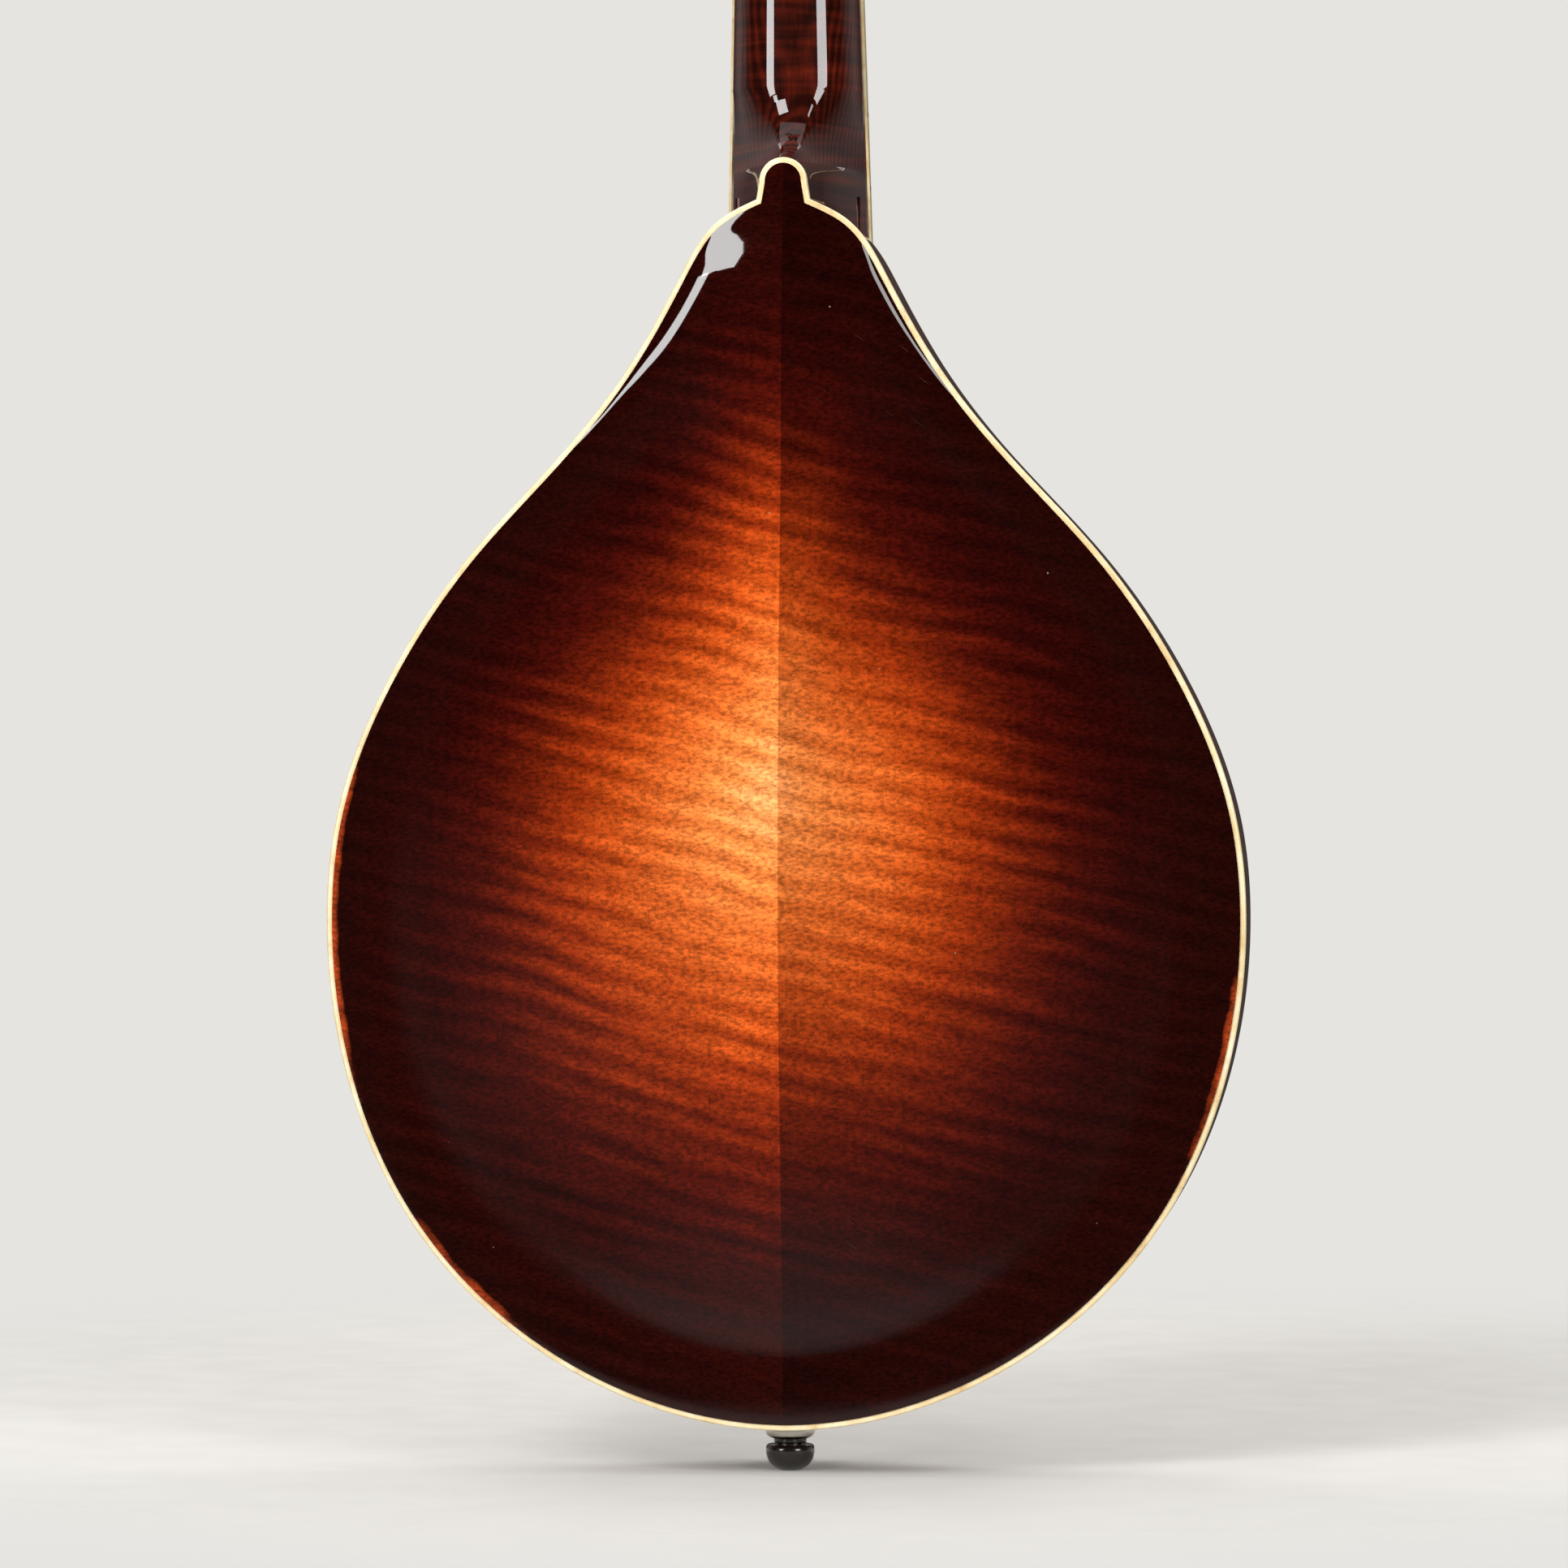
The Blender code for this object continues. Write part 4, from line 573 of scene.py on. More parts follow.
stops = [(0.3, "#b98a52"), (0.5, "#d8b17a"), (0.7, "#e6c592")]
sockets = {"Roughness": 0.75, "IOR": 1.45}
bare_spruce = grained("planed_spruce", (700, 250, 30), 3.0, stops, sockets, bump=(0.2, 0.0002))
dress(("neck_block", "tail_block", "soundboard_brace"), bare_spruce)
dress(("top_lining_treble", "top_lining_bass", "back_lining_treble", "back_lining_bass"), bare_spruce)


# The top: two halves of spruce with straight, close grain, carved like the back, with an oval sound
# hole. It has the same stain, more golden in the middle, and the same lacquer.

TOP_ARCH = 0.0125
TOP_BURST_CENTRE = -0.150
TOP_RINGS = 52
HOLE_Z = -0.0985
HOLE = (0.0270, 0.0205)
HOLE_RING = 0.0015
HOLE_SIDES = 128


def top_at(points):
    """The y of the top's outer face at points of (x, z)."""
    return -arch_height(np.asarray(points, float), TOP_ARCH)


spruce, tree, shader = start_look("sunburst_spruce", **UNDER_LACQUER, Coat_Roughness=0.04)
place = add(tree, "TexCoord", out="Object")
across = add(tree, "Math", add(tree, "SeparateXYZ", {0: place}, out="X"), operation="ABSOLUTE")
across = add(tree, "Math", noise(tree, place, (9, 0, 5), 1.0), 0.004, across, operation="MULTIPLY_ADD")
# Growth rings 1.1 mm apart, with fine fibre between them
ring = waves(tree, across, 0.0011)
fine = add(tree, "MapRange", noise(tree, place, (2200, 60, 30), 2.0), 0.3, 0.7, 0.86, 1.10)
stain = add(
    tree, "ValToRGB", add(tree, "Attribute", out="Fac", attribute_name="burst"),
    stops=(
        (0.05, "#d98f3c"), (0.28, "#c97a2c"), (0.45, "#a8551c"), (0.60, "#6b260c"), (0.74, "#3a0e05"),
        (0.90, "#260603"),
    ),
)
shade = add(tree, "Math", add(tree, "MapRange", ring, -1.0, 1.0, 0.82, 1.06), fine, operation="MULTIPLY")
tree.links.new(shaded(tree, stain, shade), shader.inputs["Base Color"])
relief(tree, shader, ring, 0.04)

edge = inset(half_outline(), BINDING + GLUE_LINE)
base = [(edge[0][0] * i / 6, edge[0][1]) for i in range(6)]
edge = np.vstack([base, edge])
turn = np.arctan2(edge[:, 0], edge[:, 1] - HOLE_Z)
oval = 1 / np.hypot(np.sin(turn) / HOLE[0], np.cos(turn) / HOLE[1])
hole = np.column_stack([oval * np.sin(turn), HOLE_Z + oval * np.cos(turn)])
flat = np.vstack([hole + t * (edge - hole) for t in np.linspace(0, 1, TOP_RINGS)])
burst = share_from(flat, TOP_BURST_CENTRE)
for name, side in (("top_treble", 1), ("top_bass", -1)):
    points, faces = thick(lifted(flat, top_at(flat), side), quads(TOP_RINGS, len(edge)), (0, PLATE_EDGE, 0))
    instead = ["soundboard_" + name[4:]]
    make(name, points, faces, BODY, spruce, instead_of=instead, values={"burst": [*burst, *burst]})

# The sound hole's ivoroid lining, and round it an inlaid ring: a cream line between two black ones
black_fibre, tree, shader = start_look("black_fibre", Roughness=0.4, Coat_Weight=1.0, Coat_Roughness=0.05)
speck = add(tree, "TexNoise", {"Scale": 900.0, "Detail": 2.0})
tree.links.new(
    add(tree, "ValToRGB", speck, stops=((0.3, "#0d0a09"), (0.7, "#1c1714"))), shader.inputs["Base Color"],
)


def skin(rings, caps=True):
    """Points and faces through closed rings of equal count, first to last. Without caps, the last
    ring joins the first."""
    n = len(rings[0])
    points = [tuple(point) for ring in rings for point in ring]
    faces = quads(len(rings), n, not caps, True)
    if caps:
        faces += [tuple(range(n))[::-1], tuple(range(len(points) - n, len(points)))]
    return points, faces


def hole_ring(name, inner, outer, proud, deep, look, instead_of=()):
    """A ring round the sound hole that follows the top's arch. inner and outer are measured from its edge."""
    turns = np.linspace(0, 2 * math.pi, HOLE_SIDES, endpoint=False)
    rows = []
    for grow, depth in ((inner, deep), (inner, -proud), (outer, -proud), (outer, deep)):
        flat = np.column_stack([(HOLE[0] + grow) * np.cos(turns), HOLE_Z + (HOLE[1] + grow) * np.sin(turns)])
        rows.append(lifted(flat, top_at(flat) + depth))
    make(name, *skin(rows, caps=False), BODY, look, instead_of=instead_of)


hole_ring("soundhole_lining", -HOLE_RING, 0, 0.00015, PLATE_EDGE, ivoroid, ["soundhole_ring"])
hole_ring("rosette_inner", 0.0060, 0.0066, 0.00004, 0.0005, black_fibre)
hole_ring("rosette_cream", 0.0066, 0.0082, 0.00004, 0.0005, ivoroid)
hole_ring("rosette_outer", 0.0082, 0.0088, 0.00004, 0.0005, black_fibre)


# The neck: one piece of maple with its heel, headstock and the tongue under the fingerboard. It is
# carved round, stained dark red-brown and lacquered. The grain's layers make loops round the heel.


def at(x, y, z):
    return Matrix.Translation((x, y, z))


def rotated(degrees, axis):
    return Matrix.Rotation(math.radians(degrees), 4, axis)


NECK = Matrix.Rotation(-NECK_PITCH, 4, "X")
HEAD = NECK @ rotated(-14, "X")
NUT_HALF_WIDTH = 0.0154
JOINT_HALF_WIDTH = 0.0201
BOARD_TAPER = (JOINT_HALF_WIDTH - NUT_HALF_WIDTH) / JOINT
BOARD_LENGTH = 0.2465
BOARD = 0.0045
NECK_INSET = 0.0007
SHAFT_DEPTH = (0.0150, 0.0180)
HEEL_START = 0.034
HEEL_FLANK = 0.75
FLANK_BEND = 1.5
SHAFT_ROUND = 0.9
GAP = 0.0003
OVERLAY = 0.0018
OVERLAY_START = 0.0059
HEAD_WOOD = 0.0130
HEAD_BACK = OVERLAY + GAP + HEAD_WOOD
HEAD_START = 0.0125
HEAD_LENGTH = 0.128
HEAD_ROUND = 0.0012
FLARE = [(0.0155, -0.001), (0.0160, 0.006), (0.0212, 0.0140), (0.0282, 0.0205), (0.0308, 0.0300)]
HORN = (0.0328, 0.1120)
CREST = [(0.0300, 0.1165), (0.0215, 0.1155), (0.0110, 0.1215), (0.0, HEAD_LENGTH), (-0.0110, 0.1215)]
# Where shaft becomes headstock: height, half width, distance to the back, and squareness (2 is an ellipse)
BLEND = [
    (-0.0150, 0.0145, 0.01410, 2.1),
    (-0.0070, 0.0147, 0.01430, 2.1),
    (-0.0010, 0.0152, 0.01495, 2.4),
    (0.0060, 0.0159, 0.01505, 3.5),
    (0.0110, 0.0182, 0.01508, 6.0),
    (0.0150, 0.0222, 0.01509, 12.0),
]
BLEND_STEPS = 19
PROFILE = 22

flame_dark, tree, shader = start_look("dark_stained_maple", **UNDER_LACQUER, Coat_Roughness=0.03)
place = add(tree, "TexCoord", out="Object")
# Growth layers 1.6 mm apart lie flat to the back, so the heel's curve cuts them in loops
height = add(tree, "SeparateXYZ", {0: place}, out="Y")
layer = add(tree, "Math", noise(tree, place, (45, 20, 28), 2.0), 0.007, height, operation="MULTIPLY_ADD")
curl = noise(tree, place, (28, 20, 330), 2.0, Distortion=0.5)
tone = add(tree, "Math", curl, 0.5, 0.25, operation="MULTIPLY_ADD")
tone = add(tree, "Math", waves(tree, layer, 0.0016), 0.07, tone, operation="MULTIPLY_ADD")
tone = add(tree, "Math", noise(tree, place, (1800, 1800, 30), 2.0), 0.20, tone, operation="MULTIPLY_ADD")
stain = add(
    tree, "ValToRGB", tone,
    stops=((0.40, "#130504"), (0.55, "#2a0b06"), (0.70, "#4a140a"), (0.88, "#742612")),
)
tree.links.new(stain, shader.inputs["Base Color"])


def neck_face(height):
    """Y of the neck's glued face in the body's frame, at a height above the joint."""
    return (height + BODY_TOP_Z) * math.tan(NECK_PITCH) - BODY_FRONT_Y


def neck_section(height):
    """Half of the neck's section in the body's frame, from its face's edge to the middle of its back."""
    face = neck_face(height)
    distance = -(height + BODY_TOP_Z)
    width = NUT_HALF_WIDTH + BOARD_TAPER * distance - NECK_INSET
    shaft = SHAFT_DEPTH[0] + (SHAFT_DEPTH[1] - SHAFT_DEPTH[0]) * distance / JOINT
    full = BODY_DEPTH - PLATE_EDGE - GLUE_LINE - face
    rise = min(max((HEEL_START - height) / (HEEL_START - BUTTON_HEIGHT), 0), 1)
    heel = 1 - math.sqrt(1 - rise**2)
    depth = shaft + (full - shaft) * heel
    over = min(max(height - BUTTON_HEIGHT + BUTTON_RADIUS, 0), BUTTON_RADIUS)
    tip = math.sqrt(BUTTON_RADIUS**2 - over**2) if height > 0 else OUTLINE[0][0]
    blend = math.sqrt(heel)
    section = []
    for i in range(PROFILE + 1):
        v = i / PROFILE
        round_x = width * math.cos(v * math.pi / 2) ** SHAFT_ROUND
        round_y = depth * math.sin(v * math.pi / 2)
        flank = min(v / HEEL_FLANK, 1)
        heel_x = tip + (width - tip) * (1 - flank) ** FLANK_BEND
        if v > HEEL_FLANK:
            heel_x = tip * (1 - v) / (1 - HEEL_FLANK)
        x, y = (1 - blend) * round_x + blend * heel_x, (1 - blend) * round_y + blend * depth * flank
        z = height
        if height < 0:
            z = max(height, float(np.interp(x, EDGE[:100, 0], EDGE[:100, 1])) + GLUE_LINE)
        section.append((x, face + y, z))
    section[-1] = (0, *section[-1][1:])
    return [BODY @ Vector(point) for point in section]


def blend_section(height):
    """Half of the section where shaft becomes headstock, from the headstock's frame."""
    stations = [row[0] for row in BLEND]
    half_width, back, squareness = [np.interp(height, stations, [row[k] for row in BLEND]) for k in (1, 2, 3)]
    low = 0.0 if height < 0.0056 else OVERLAY
    section = []
    for i in range(PROFILE + 1):
        turn = math.pi / 2 * i / PROFILE
        across = half_width * max(math.cos(turn), 0) ** (2 / squareness)
        section.append((across, low + (back - low) * math.sin(turn) ** (2 / squareness), height))
    section[-1] = (0, back, height)
    return [HEAD @ Vector(point) for point in section]


def head_outline(start):
    """The treble half of the headstock's outline above start: a flare, a long side and a crested top."""
    flare = curve_through(FLARE, len(FLARE) - 1, 30)
    crest = curve_through(CREST, len(CREST) - 2, 28)
    half = np.vstack([flare, HORN, crest])
    half = half[half[:, 1] > start]
    return np.vstack([(np.interp(start, flare[:, 1], flare[:, 0]), start), half])


def stacked(outline, section):
    """A flat solid from the treble half of its outline. section is (distance inwards, y), front to back."""
    rows = []
    for distance, y in section:
        half = inset(outline[::-1], distance)
        flat = np.vstack([half, half[:0:-1] * (-1, 1)])
        rows.append(lifted(flat, y))
    return skin(rows)


def union(piece, points, faces, place, operation="UNION"):
    """Joins another solid onto the piece, or cuts it away."""
    tool = new_object("tool", closed_mesh("tool", points, faces, place, weld=False))
    step = piece.modifiers.new("join", "BOOLEAN")
    step.operation = operation
    step.solver = "EXACT"
    step.object = tool
    graph = bpy.context.evaluated_depsgraph_get()
    baked = bpy.data.meshes.new_from_object(piece.evaluated_get(graph))
    piece.modifiers.clear()
    piece.data = baked
    bpy.data.objects.remove(tool)
    shade_smooth(baked, 35)


heights = [*np.linspace(-0.0145, 0.0, 8), *np.linspace(0.0008, 0.034, 34), *np.linspace(0.038, 0.150, 24)]
sections = [neck_section(height) for height in heights]
for k in range(1, BLEND_STEPS):
    t = k / BLEND_STEPS
    weight = float(smooth(t, 0, 1))
    shaft = neck_section(heights[-1] + 0.031 * t)
    head = blend_section(-0.0150 + 0.0204 * t)
    sections.append([(1 - weight) * a + weight * b for a, b in zip(shaft, head)])
for height in (0.0055, 0.0057, 0.0070, 0.0085, 0.0100, 0.0115, 0.0130, 0.0148):
    sections.append(blend_section(height))
rings = [[*half, *[Vector((-p.x, p.y, p.z)) for p in reversed(half[:-1])]] for half in sections]
neck = make("neck_carved", *skin(rings), Matrix(), flame_dark, instead_of=["neck"])
rounded = [(0, OVERLAY), *[(aside, HEAD_BACK - deep) for aside, deep in rounded_edge(HEAD_ROUND)]]
union(neck, *stacked(head_outline(HEAD_START), rounded), HEAD)

# The tongue fills the gap between the board and the arch of the top, just inside their edges
TONGUE_INSET = 0.0025
TONGUE_SHORT = 0.004
half_wide = JOINT_HALF_WIDTH - TONGUE_INSET
rows = []
for z in np.linspace(TONGUE_SHORT, -(BODY_TOP_Z + BOARD_LENGTH - TONGUE_SHORT), 12):
    face, under = neck_face(z), top_at([(half_wide, min(z, -TONGUE_SHORT))])[0] + 0.0002
    rows.append([(-half_wide, face, z), (half_wide, face, z), (half_wide, under, z), (-half_wide, under, z)])
make("neck_tongue", *skin(rows), BODY, flame_dark)


# The headstock's face: a black veneer, lacquered to a gloss and left plain, with a nickel bushing
# pressed in where each post comes through.

FIRST_POST = 0.030
POST_SPACING = 0.023
POST_X = 0.0205
POST_HOLE = 0.0036
SIDES = (("bass", -1), ("treble", 1))
# Each post's number, and its place on the headstock's face
POSTS = [
    (4 * row + i + 1, side * POST_X, FIRST_POST + POST_SPACING * i)
    for row, (_, side) in enumerate(SIDES)
    for i in range(4)
]
FACE_OUT = rotated(90, "X")
BACK_OUT = rotated(-90, "X")
DOWN = rotated(180, "X")


def turned(profile, sides=48, ring=False, swell=None):
    """A turned solid round Z from (radius, height) points. ring closes the profile on itself, round a bore.
    swell adds to the radius at an angle and height, for flutes and threads."""
    rings = []
    for radius, height in profile:
        row = []
        for k in range(sides):
            a = 2 * math.pi * k / sides
            r = max(radius, 0.000002) + (swell(a, radius, height) if swell else 0)
            row.append((r * math.cos(a), r * math.sin(a), height))
        rings.append(row)
    return skin(rings, caps=not ring)


def joined(solids):
    """Several solids, each points and faces, as one."""
    points, faces = [], []
    for some, theirs in solids:
        start = len(points)
        points += [tuple(p) for p in some]
        faces += [tuple(start + i for i in face) for face in theirs]
    return points, faces


def moved(solid, place):
    points, faces = solid
    return [tuple(place @ Vector(p)) for p in points], faces


def at_posts(solid):
    return joined([moved(solid, at(x, 0, z) @ FACE_OUT) for _, x, z in POSTS])


sockets = {**UNDER_LACQUER, "Roughness": 0.3, "Coat_Roughness": 0.03}
stops = [(0.35, "#090706"), (0.65, "#15100d")]
black_gloss = grained("black_lacquered_veneer", (1300, 1300, 40), 2.0, stops, sockets)

# Nickel plate over brass, polished, gone slightly warm and cloudy with handling
stops = [(0.30, "#c8c2b5"), (0.50, "#cdc8bd"), (0.70, "#d2cdc3")]
nickel = grained(
    "polished_nickel_plate", 220.0, 4.0, stops, {"Metallic": 1.0}, polish=(0.19, 0.13), Roughness=0.6
)

holes = at_posts(turned([(POST_HOLE, -0.03), (POST_HOLE, 0.03)], 32))
union(neck, *holes, HEAD, "DIFFERENCE")
front_round = [(0.0006, 0), (0.00018, 0.00018), (0, 0.0006), (0, OVERLAY)]
face = stacked(head_outline(OVERLAY_START), front_round)
overlay = make("headstock_face", *face, HEAD, black_gloss, instead_of=["headstock_overlay"])
union(overlay, *holes, HEAD, "DIFFERENCE")
bushing = [
    (0.00312, -0.0030), (0.00312, 0.0010), (0.0034, 0.0013), (0.0043, 0.0011),
    (0.0048, 0.0006), (0.0049, 0.00005), (0.00355, 0.00005), (0.00355, -0.0030),
]
make("post_bushings", *at_posts(turned(bushing, ring=True)), HEAD, nickel)


# The fingerboard: an ebony board with twenty nickel-silver frets hammered into sawn slots, pearl
# dots, and an ivoroid strip round its sides and end, with small black dots for the player.

BOARD_TOP = -BOARD - GAP
BOARD_START = 0.0003
BOARD_CORNER = 0.0009
BOARD_BINDING = 0.0013
FRETS = 20
FRET_HALF = 0.00085
FRET_HEIGHT = 0.0010
DOT_FRETS = (5, 7, 10, 12, 15)


def board_half(distance):
    return NUT_HALF_WIDTH + BOARD_TAPER * distance


def fret_at(number):
    return SCALE_LENGTH * (1 - 2 ** (-number / 12))


def dot_places(apart):
    """How far down the neck each dot is, and how far aside: two at the twelfth fret, else one."""
    for fret in DOT_FRETS:
        for aside in (-apart, apart) if fret == 12 else (0,):
            yield (fret_at(fret) + fret_at(fret - 1)) / 2, aside


stops = [(0.30, "#060504"), (0.55, "#110d0b"), (0.75, "#1f1813")]
sockets = {"Roughness": 0.32, "IOR": 1.5}
ebony = grained("polished_ebony", (1800, 1800, 55), 3.0, stops, sockets, bump=(0.15, 0.0001))

rows = []
for s in (BOARD_START, BOARD_LENGTH - BOARD_BINDING - GLUE_LINE):
    x = board_half(s) - BOARD_BINDING - GLUE_LINE
    rows.append([(-x, 0, -s), (x, 0, -s), (x, BOARD_TOP, -s), (-x, BOARD_TOP, -s)])
make("fingerboard_ebony", *skin(rows), NECK, ebony, instead_of=["fingerboard"])
line = [(board_half(s), -s) for s in np.linspace(BOARD_START, BOARD_LENGTH, 12)]
end = line[-1][0]
line[-1:] = [(end, -BOARD_LENGTH + BOARD_CORNER), (end - BOARD_CORNER, -BOARD_LENGTH), (0, -BOARD_LENGTH)]
section = [(BOARD_BINDING, 0), (0, 0), (0, BOARD_TOP + 0.0005)]
section += [(0.0002, BOARD_TOP + 0.0001), (0.0005, BOARD_TOP), (BOARD_BINDING, BOARD_TOP)]
edging = strip(np.array(line), section, False)
make("binding_fingerboard", *edging, NECK, ivoroid, instead_of=["fingerboard_binding"])

# The frets' ends are filed to a bevel: how far in from each end, and how much of the crown is gone there
bevel = [(0, 0.75), (0.0003, 0.35), (0.0009, 0)]
frets = []
for number in range(1, FRETS + 1):
    z = -fret_at(number)
    half = board_half(-z) - BOARD_BINDING + 0.0002
    foot = BOARD_TOP + 0.0002
    rings = []
    stations = [(d - half, gone) for d, gone in bevel] + [(half - d, gone) for d, gone in reversed(bevel)]
    for x, gone in stations:
        crown = (1 - gone) * FRET_HEIGHT
        turns = np.linspace(0, math.pi, 9)
        arc = [(x, BOARD_TOP - crown * math.sin(a), z + FRET_HALF * math.cos(a)) for a in turns]
        rings.append([(x, foot, z + FRET_HALF), *arc, (x, foot, z - FRET_HALF)])
    frets.append(skin(rings))
make("fret_wires", *joined(frets), NECK, nickel)

stops = [(0.35, "#c9d2cc"), (0.48, "#ece6da"), (0.60, "#d8cfd6"), (0.70, "#f3efe6")]
sockets = {"Roughness": 0.18, "IOR": 1.53, "Coat_Weight": 0.5}
pearl = grained("mother_of_pearl", 300.0, 3.0, stops, sockets, Distortion=1.5)
dot = turned([(0.0026, -0.0008), (0.0026, 0.00003)], 40)
dots = [moved(dot, at(aside, BOARD_TOP, -down) @ FACE_OUT) for down, aside in dot_places(0.0062)]
make("pearl_dots", *joined(dots), NECK, pearl)
dot = turned([(0.0008, -0.0006), (0.0008, 0.00003)], 24)
dots = [
    moved(dot, at(-board_half(down), BOARD_TOP / 2, -down + aside) @ rotated(-90, "Y"))
    for down, aside in dot_places(0.0016)
]
make("side_dots", *joined(dots), NECK, black_fibre)


# The nut: a block of polished bone, glued across the end of the board, with a slot filed for each
# string. The CAD solid has its whole shape, so only its material is set here.

stops = [(0.30, "#d9caa6"), (0.50, "#eee3c8"), (0.75, "#f5eedb")]
sockets = {"Roughness": 0.35, "IOR": 1.54, "Subsurface_Weight": 0.1, "Subsurface_Scale": 0.002}
dress(["nut"], grained("polished_bone", (300, 2400, 2400), 2.0, stops, sockets))


# The tuners: on each side a nickel plate with lugs that carry four worm shafts with ivoroid
# buttons. Each worm turns a brass gear on the foot of a string post, one tooth for each turn.

TUNER_METAL = 0.0010
HEAD_PLATE = HEAD_BACK + GAP + TUNER_METAL
PLATE_SCREWS = (0.0226, 0.0435, 0.0665, 0.0895, 0.1089)
GEAR_TEETH = 12
WORM_PITCH = 0.0019
GEAR_RADIUS = GEAR_TEETH * WORM_PITCH / (2 * math.pi)
WORM_ROOT = 0.0014
WORM_CREST = 0.0024
WORM_FOOT = 0.00085
WORM_FLAT = 0.00012
CENTRES = GEAR_RADIUS + 0.0020
GEAR_Y = (HEAD_PLATE + 0.0018, HEAD_PLATE + 0.0042)
SHAFT_Y = (GEAR_Y[0] + GEAR_Y[1]) / 2
LUGS = (0.0138, 0.0262)
LUG = 0.0012
JOURNAL = 0.00118
NECK_OF_BUTTON = 0.0019
BUTTON_START = 0.0350
POST_RADIUS = 0.0030
POST_HEIGHT = 0.0115

dress(("tuner_plate_bass", "tuner_plate_treble"), nickel)
stops = [(0.3, "#8f7440"), (0.55, "#bd9c5c"), (0.75, "#cfb072")]
brass = grained("cut_brass", 500.0, 4.0, stops, {"Metallic": 1.0}, polish=(0.42, 0.25))


def screw_head(radius, rise):
    """A domed, slotted screw head that stands on the XY plane."""
    rim, slot = 0.0001, 0.00018
    profile = [(radius, -0.0004), (radius, rim)]
    profile += [(radius * math.cos(a), rim + rise * math.sin(a)) for a in np.linspace(0.15, 1.45, 7)]
    profile += [(0, rim + rise)]
    head = make("screw_blank", *turned(profile, 32), Matrix(), nickel)
    cut = ((-slot, -1), (slot, -1), (slot, 1), (-slot, 1))
    union(head, *skin([[(x, y, z) for x, y in cut] for z in (0.5 * rise, 1)]), Matrix(), "DIFFERENCE")
    solid = [tuple(v.co) for v in head.data.vertices], [tuple(p.vertices) for p in head.data.polygons]
    bpy.data.objects.remove(head)
    return solid


plate_screw = screw_head(0.0015, 0.0008)
turner = random.Random(4)
for side_name, side in SIDES:
    screws = []
    for z in PLATE_SCREWS:
        place = at(side * POST_X, HEAD_PLATE, z) @ BACK_OUT
        screws.append(moved(plate_screw, place @ Matrix.Rotation(turner.uniform(0, math.pi), 4, "Z")))
    make("plate_screws_" + side_name, *joined(screws), HEAD, nickel)


def worm(angle, radius, height):
    """What the thread of a worm along Z adds to its shaft's radius."""
    turns = height / WORM_PITCH - angle / (2 * math.pi)
    if not 0.5 < turns + angle / (2 * math.pi) < 2.55 or radius < WORM_ROOT * 0.99:
        return 0
    off = abs((turns + 0.5) % 1 - 0.5) * WORM_PITCH
    return (WORM_CREST - WORM_ROOT) * min(max(1 - (off - WORM_FLAT) / (WORM_FOOT / 2 - WORM_FLAT), 0), 1)


# The worm's shaft, from its inner end through both lugs to the button: radius, and height along it
worm_start = POST_X - 1.5 * WORM_PITCH
inner_lug, outer_lug = LUGS
profile = [(0.0008, inner_lug - LUG / 2 - 0.0010), (JOURNAL, inner_lug - LUG / 2 - 0.0006)]
profile += [(JOURNAL, inner_lug + LUG / 2 + 0.0003)]
profile += [(WORM_ROOT, worm_start + h) for h in np.linspace(0, 3 * WORM_PITCH, 61)]
profile += [(JOURNAL, outer_lug - LUG / 2 - 0.0003), (JOURNAL, BUTTON_START - 0.0012)]
profile += [(NECK_OF_BUTTON, BUTTON_START - 0.0010), (NECK_OF_BUTTON, BUTTON_START)]
shaft = turned([(r, h - worm_start) for r, h in profile], 32, swell=worm)

# The button: half its breadth, half its thickness, and height above its start
BUTTON_RINGS = [
    (0.0020, 0.0020, -0.0004), (0.0027, 0.0027, 0.0000), (0.0048, 0.0036, 0.0012), (0.0068, 0.0042, 0.0042),
    (0.0074, 0.0044, 0.0075), (0.0064, 0.0040, 0.0105), (0.0036, 0.0026, 0.0122),
]
knots = curve_through([(up, broad) for broad, _, up in BUTTON_RINGS], len(BUTTON_RINGS) - 1, 20)
other = curve_through([(up, thin) for _, thin, up in BUTTON_RINGS], len(BUTTON_RINGS) - 1, 60)
turns = np.linspace(0, 2 * math.pi, 40, endpoint=False)
rings = []
for up, broad in knots:
    thin = np.interp(up, other[:, 0], other[:, 1])
    height = BUTTON_START + up - worm_start
    rings.append([(thin * math.cos(a), broad * math.sin(a), height) for a in turns])
rings.append([(0.5 * x, 0.5 * y, z + 0.0002) for x, y, z in rings[-1]])
button = skin(rings)

# One tooth of the gear: out from the pitch circle in mm, and the share of a pitch aside
TOOTH = [(-0.55, 0.28), (0.0, 0.19), (0.42, 0.11), (0.50, 0.06)]
flanks = [(out, -share) for out, share in TOOTH] + TOOTH[::-1]
teeth = []
for k in range(GEAR_TEETH):
    middle = math.pi / 2 + 2 * math.pi / GEAR_TEETH * (k + 0.5)
    for out, share in flanks:
        turn = middle + share * 2 * math.pi / GEAR_TEETH
        radius = GEAR_RADIUS + out * 0.001
        teeth.append((radius * math.cos(turn), radius * math.sin(turn)))
levels = ((0.95, GEAR_Y[0]), (1, GEAR_Y[0] + 0.0003), (1, GEAR_Y[1] - 0.0003), (0.95, GEAR_Y[1]))
gear = skin([[(grow * x, y, grow * z) for x, z in teeth] for grow, y in levels])
post_foot = -GEAR_Y[1]
post = turned([
    (0.0, post_foot - 0.0004), (0.0026, post_foot - 0.0004), (0.0030, post_foot), (POST_RADIUS, 0.0032),
    (0.0028, 0.0036), (0.0028, 0.0092), (POST_RADIUS, 0.0098), (POST_RADIUS, 0.0106),
    (0.0027, 0.0112), (0.0016, POST_HEIGHT), (0.0, POST_HEIGHT),
], 40)
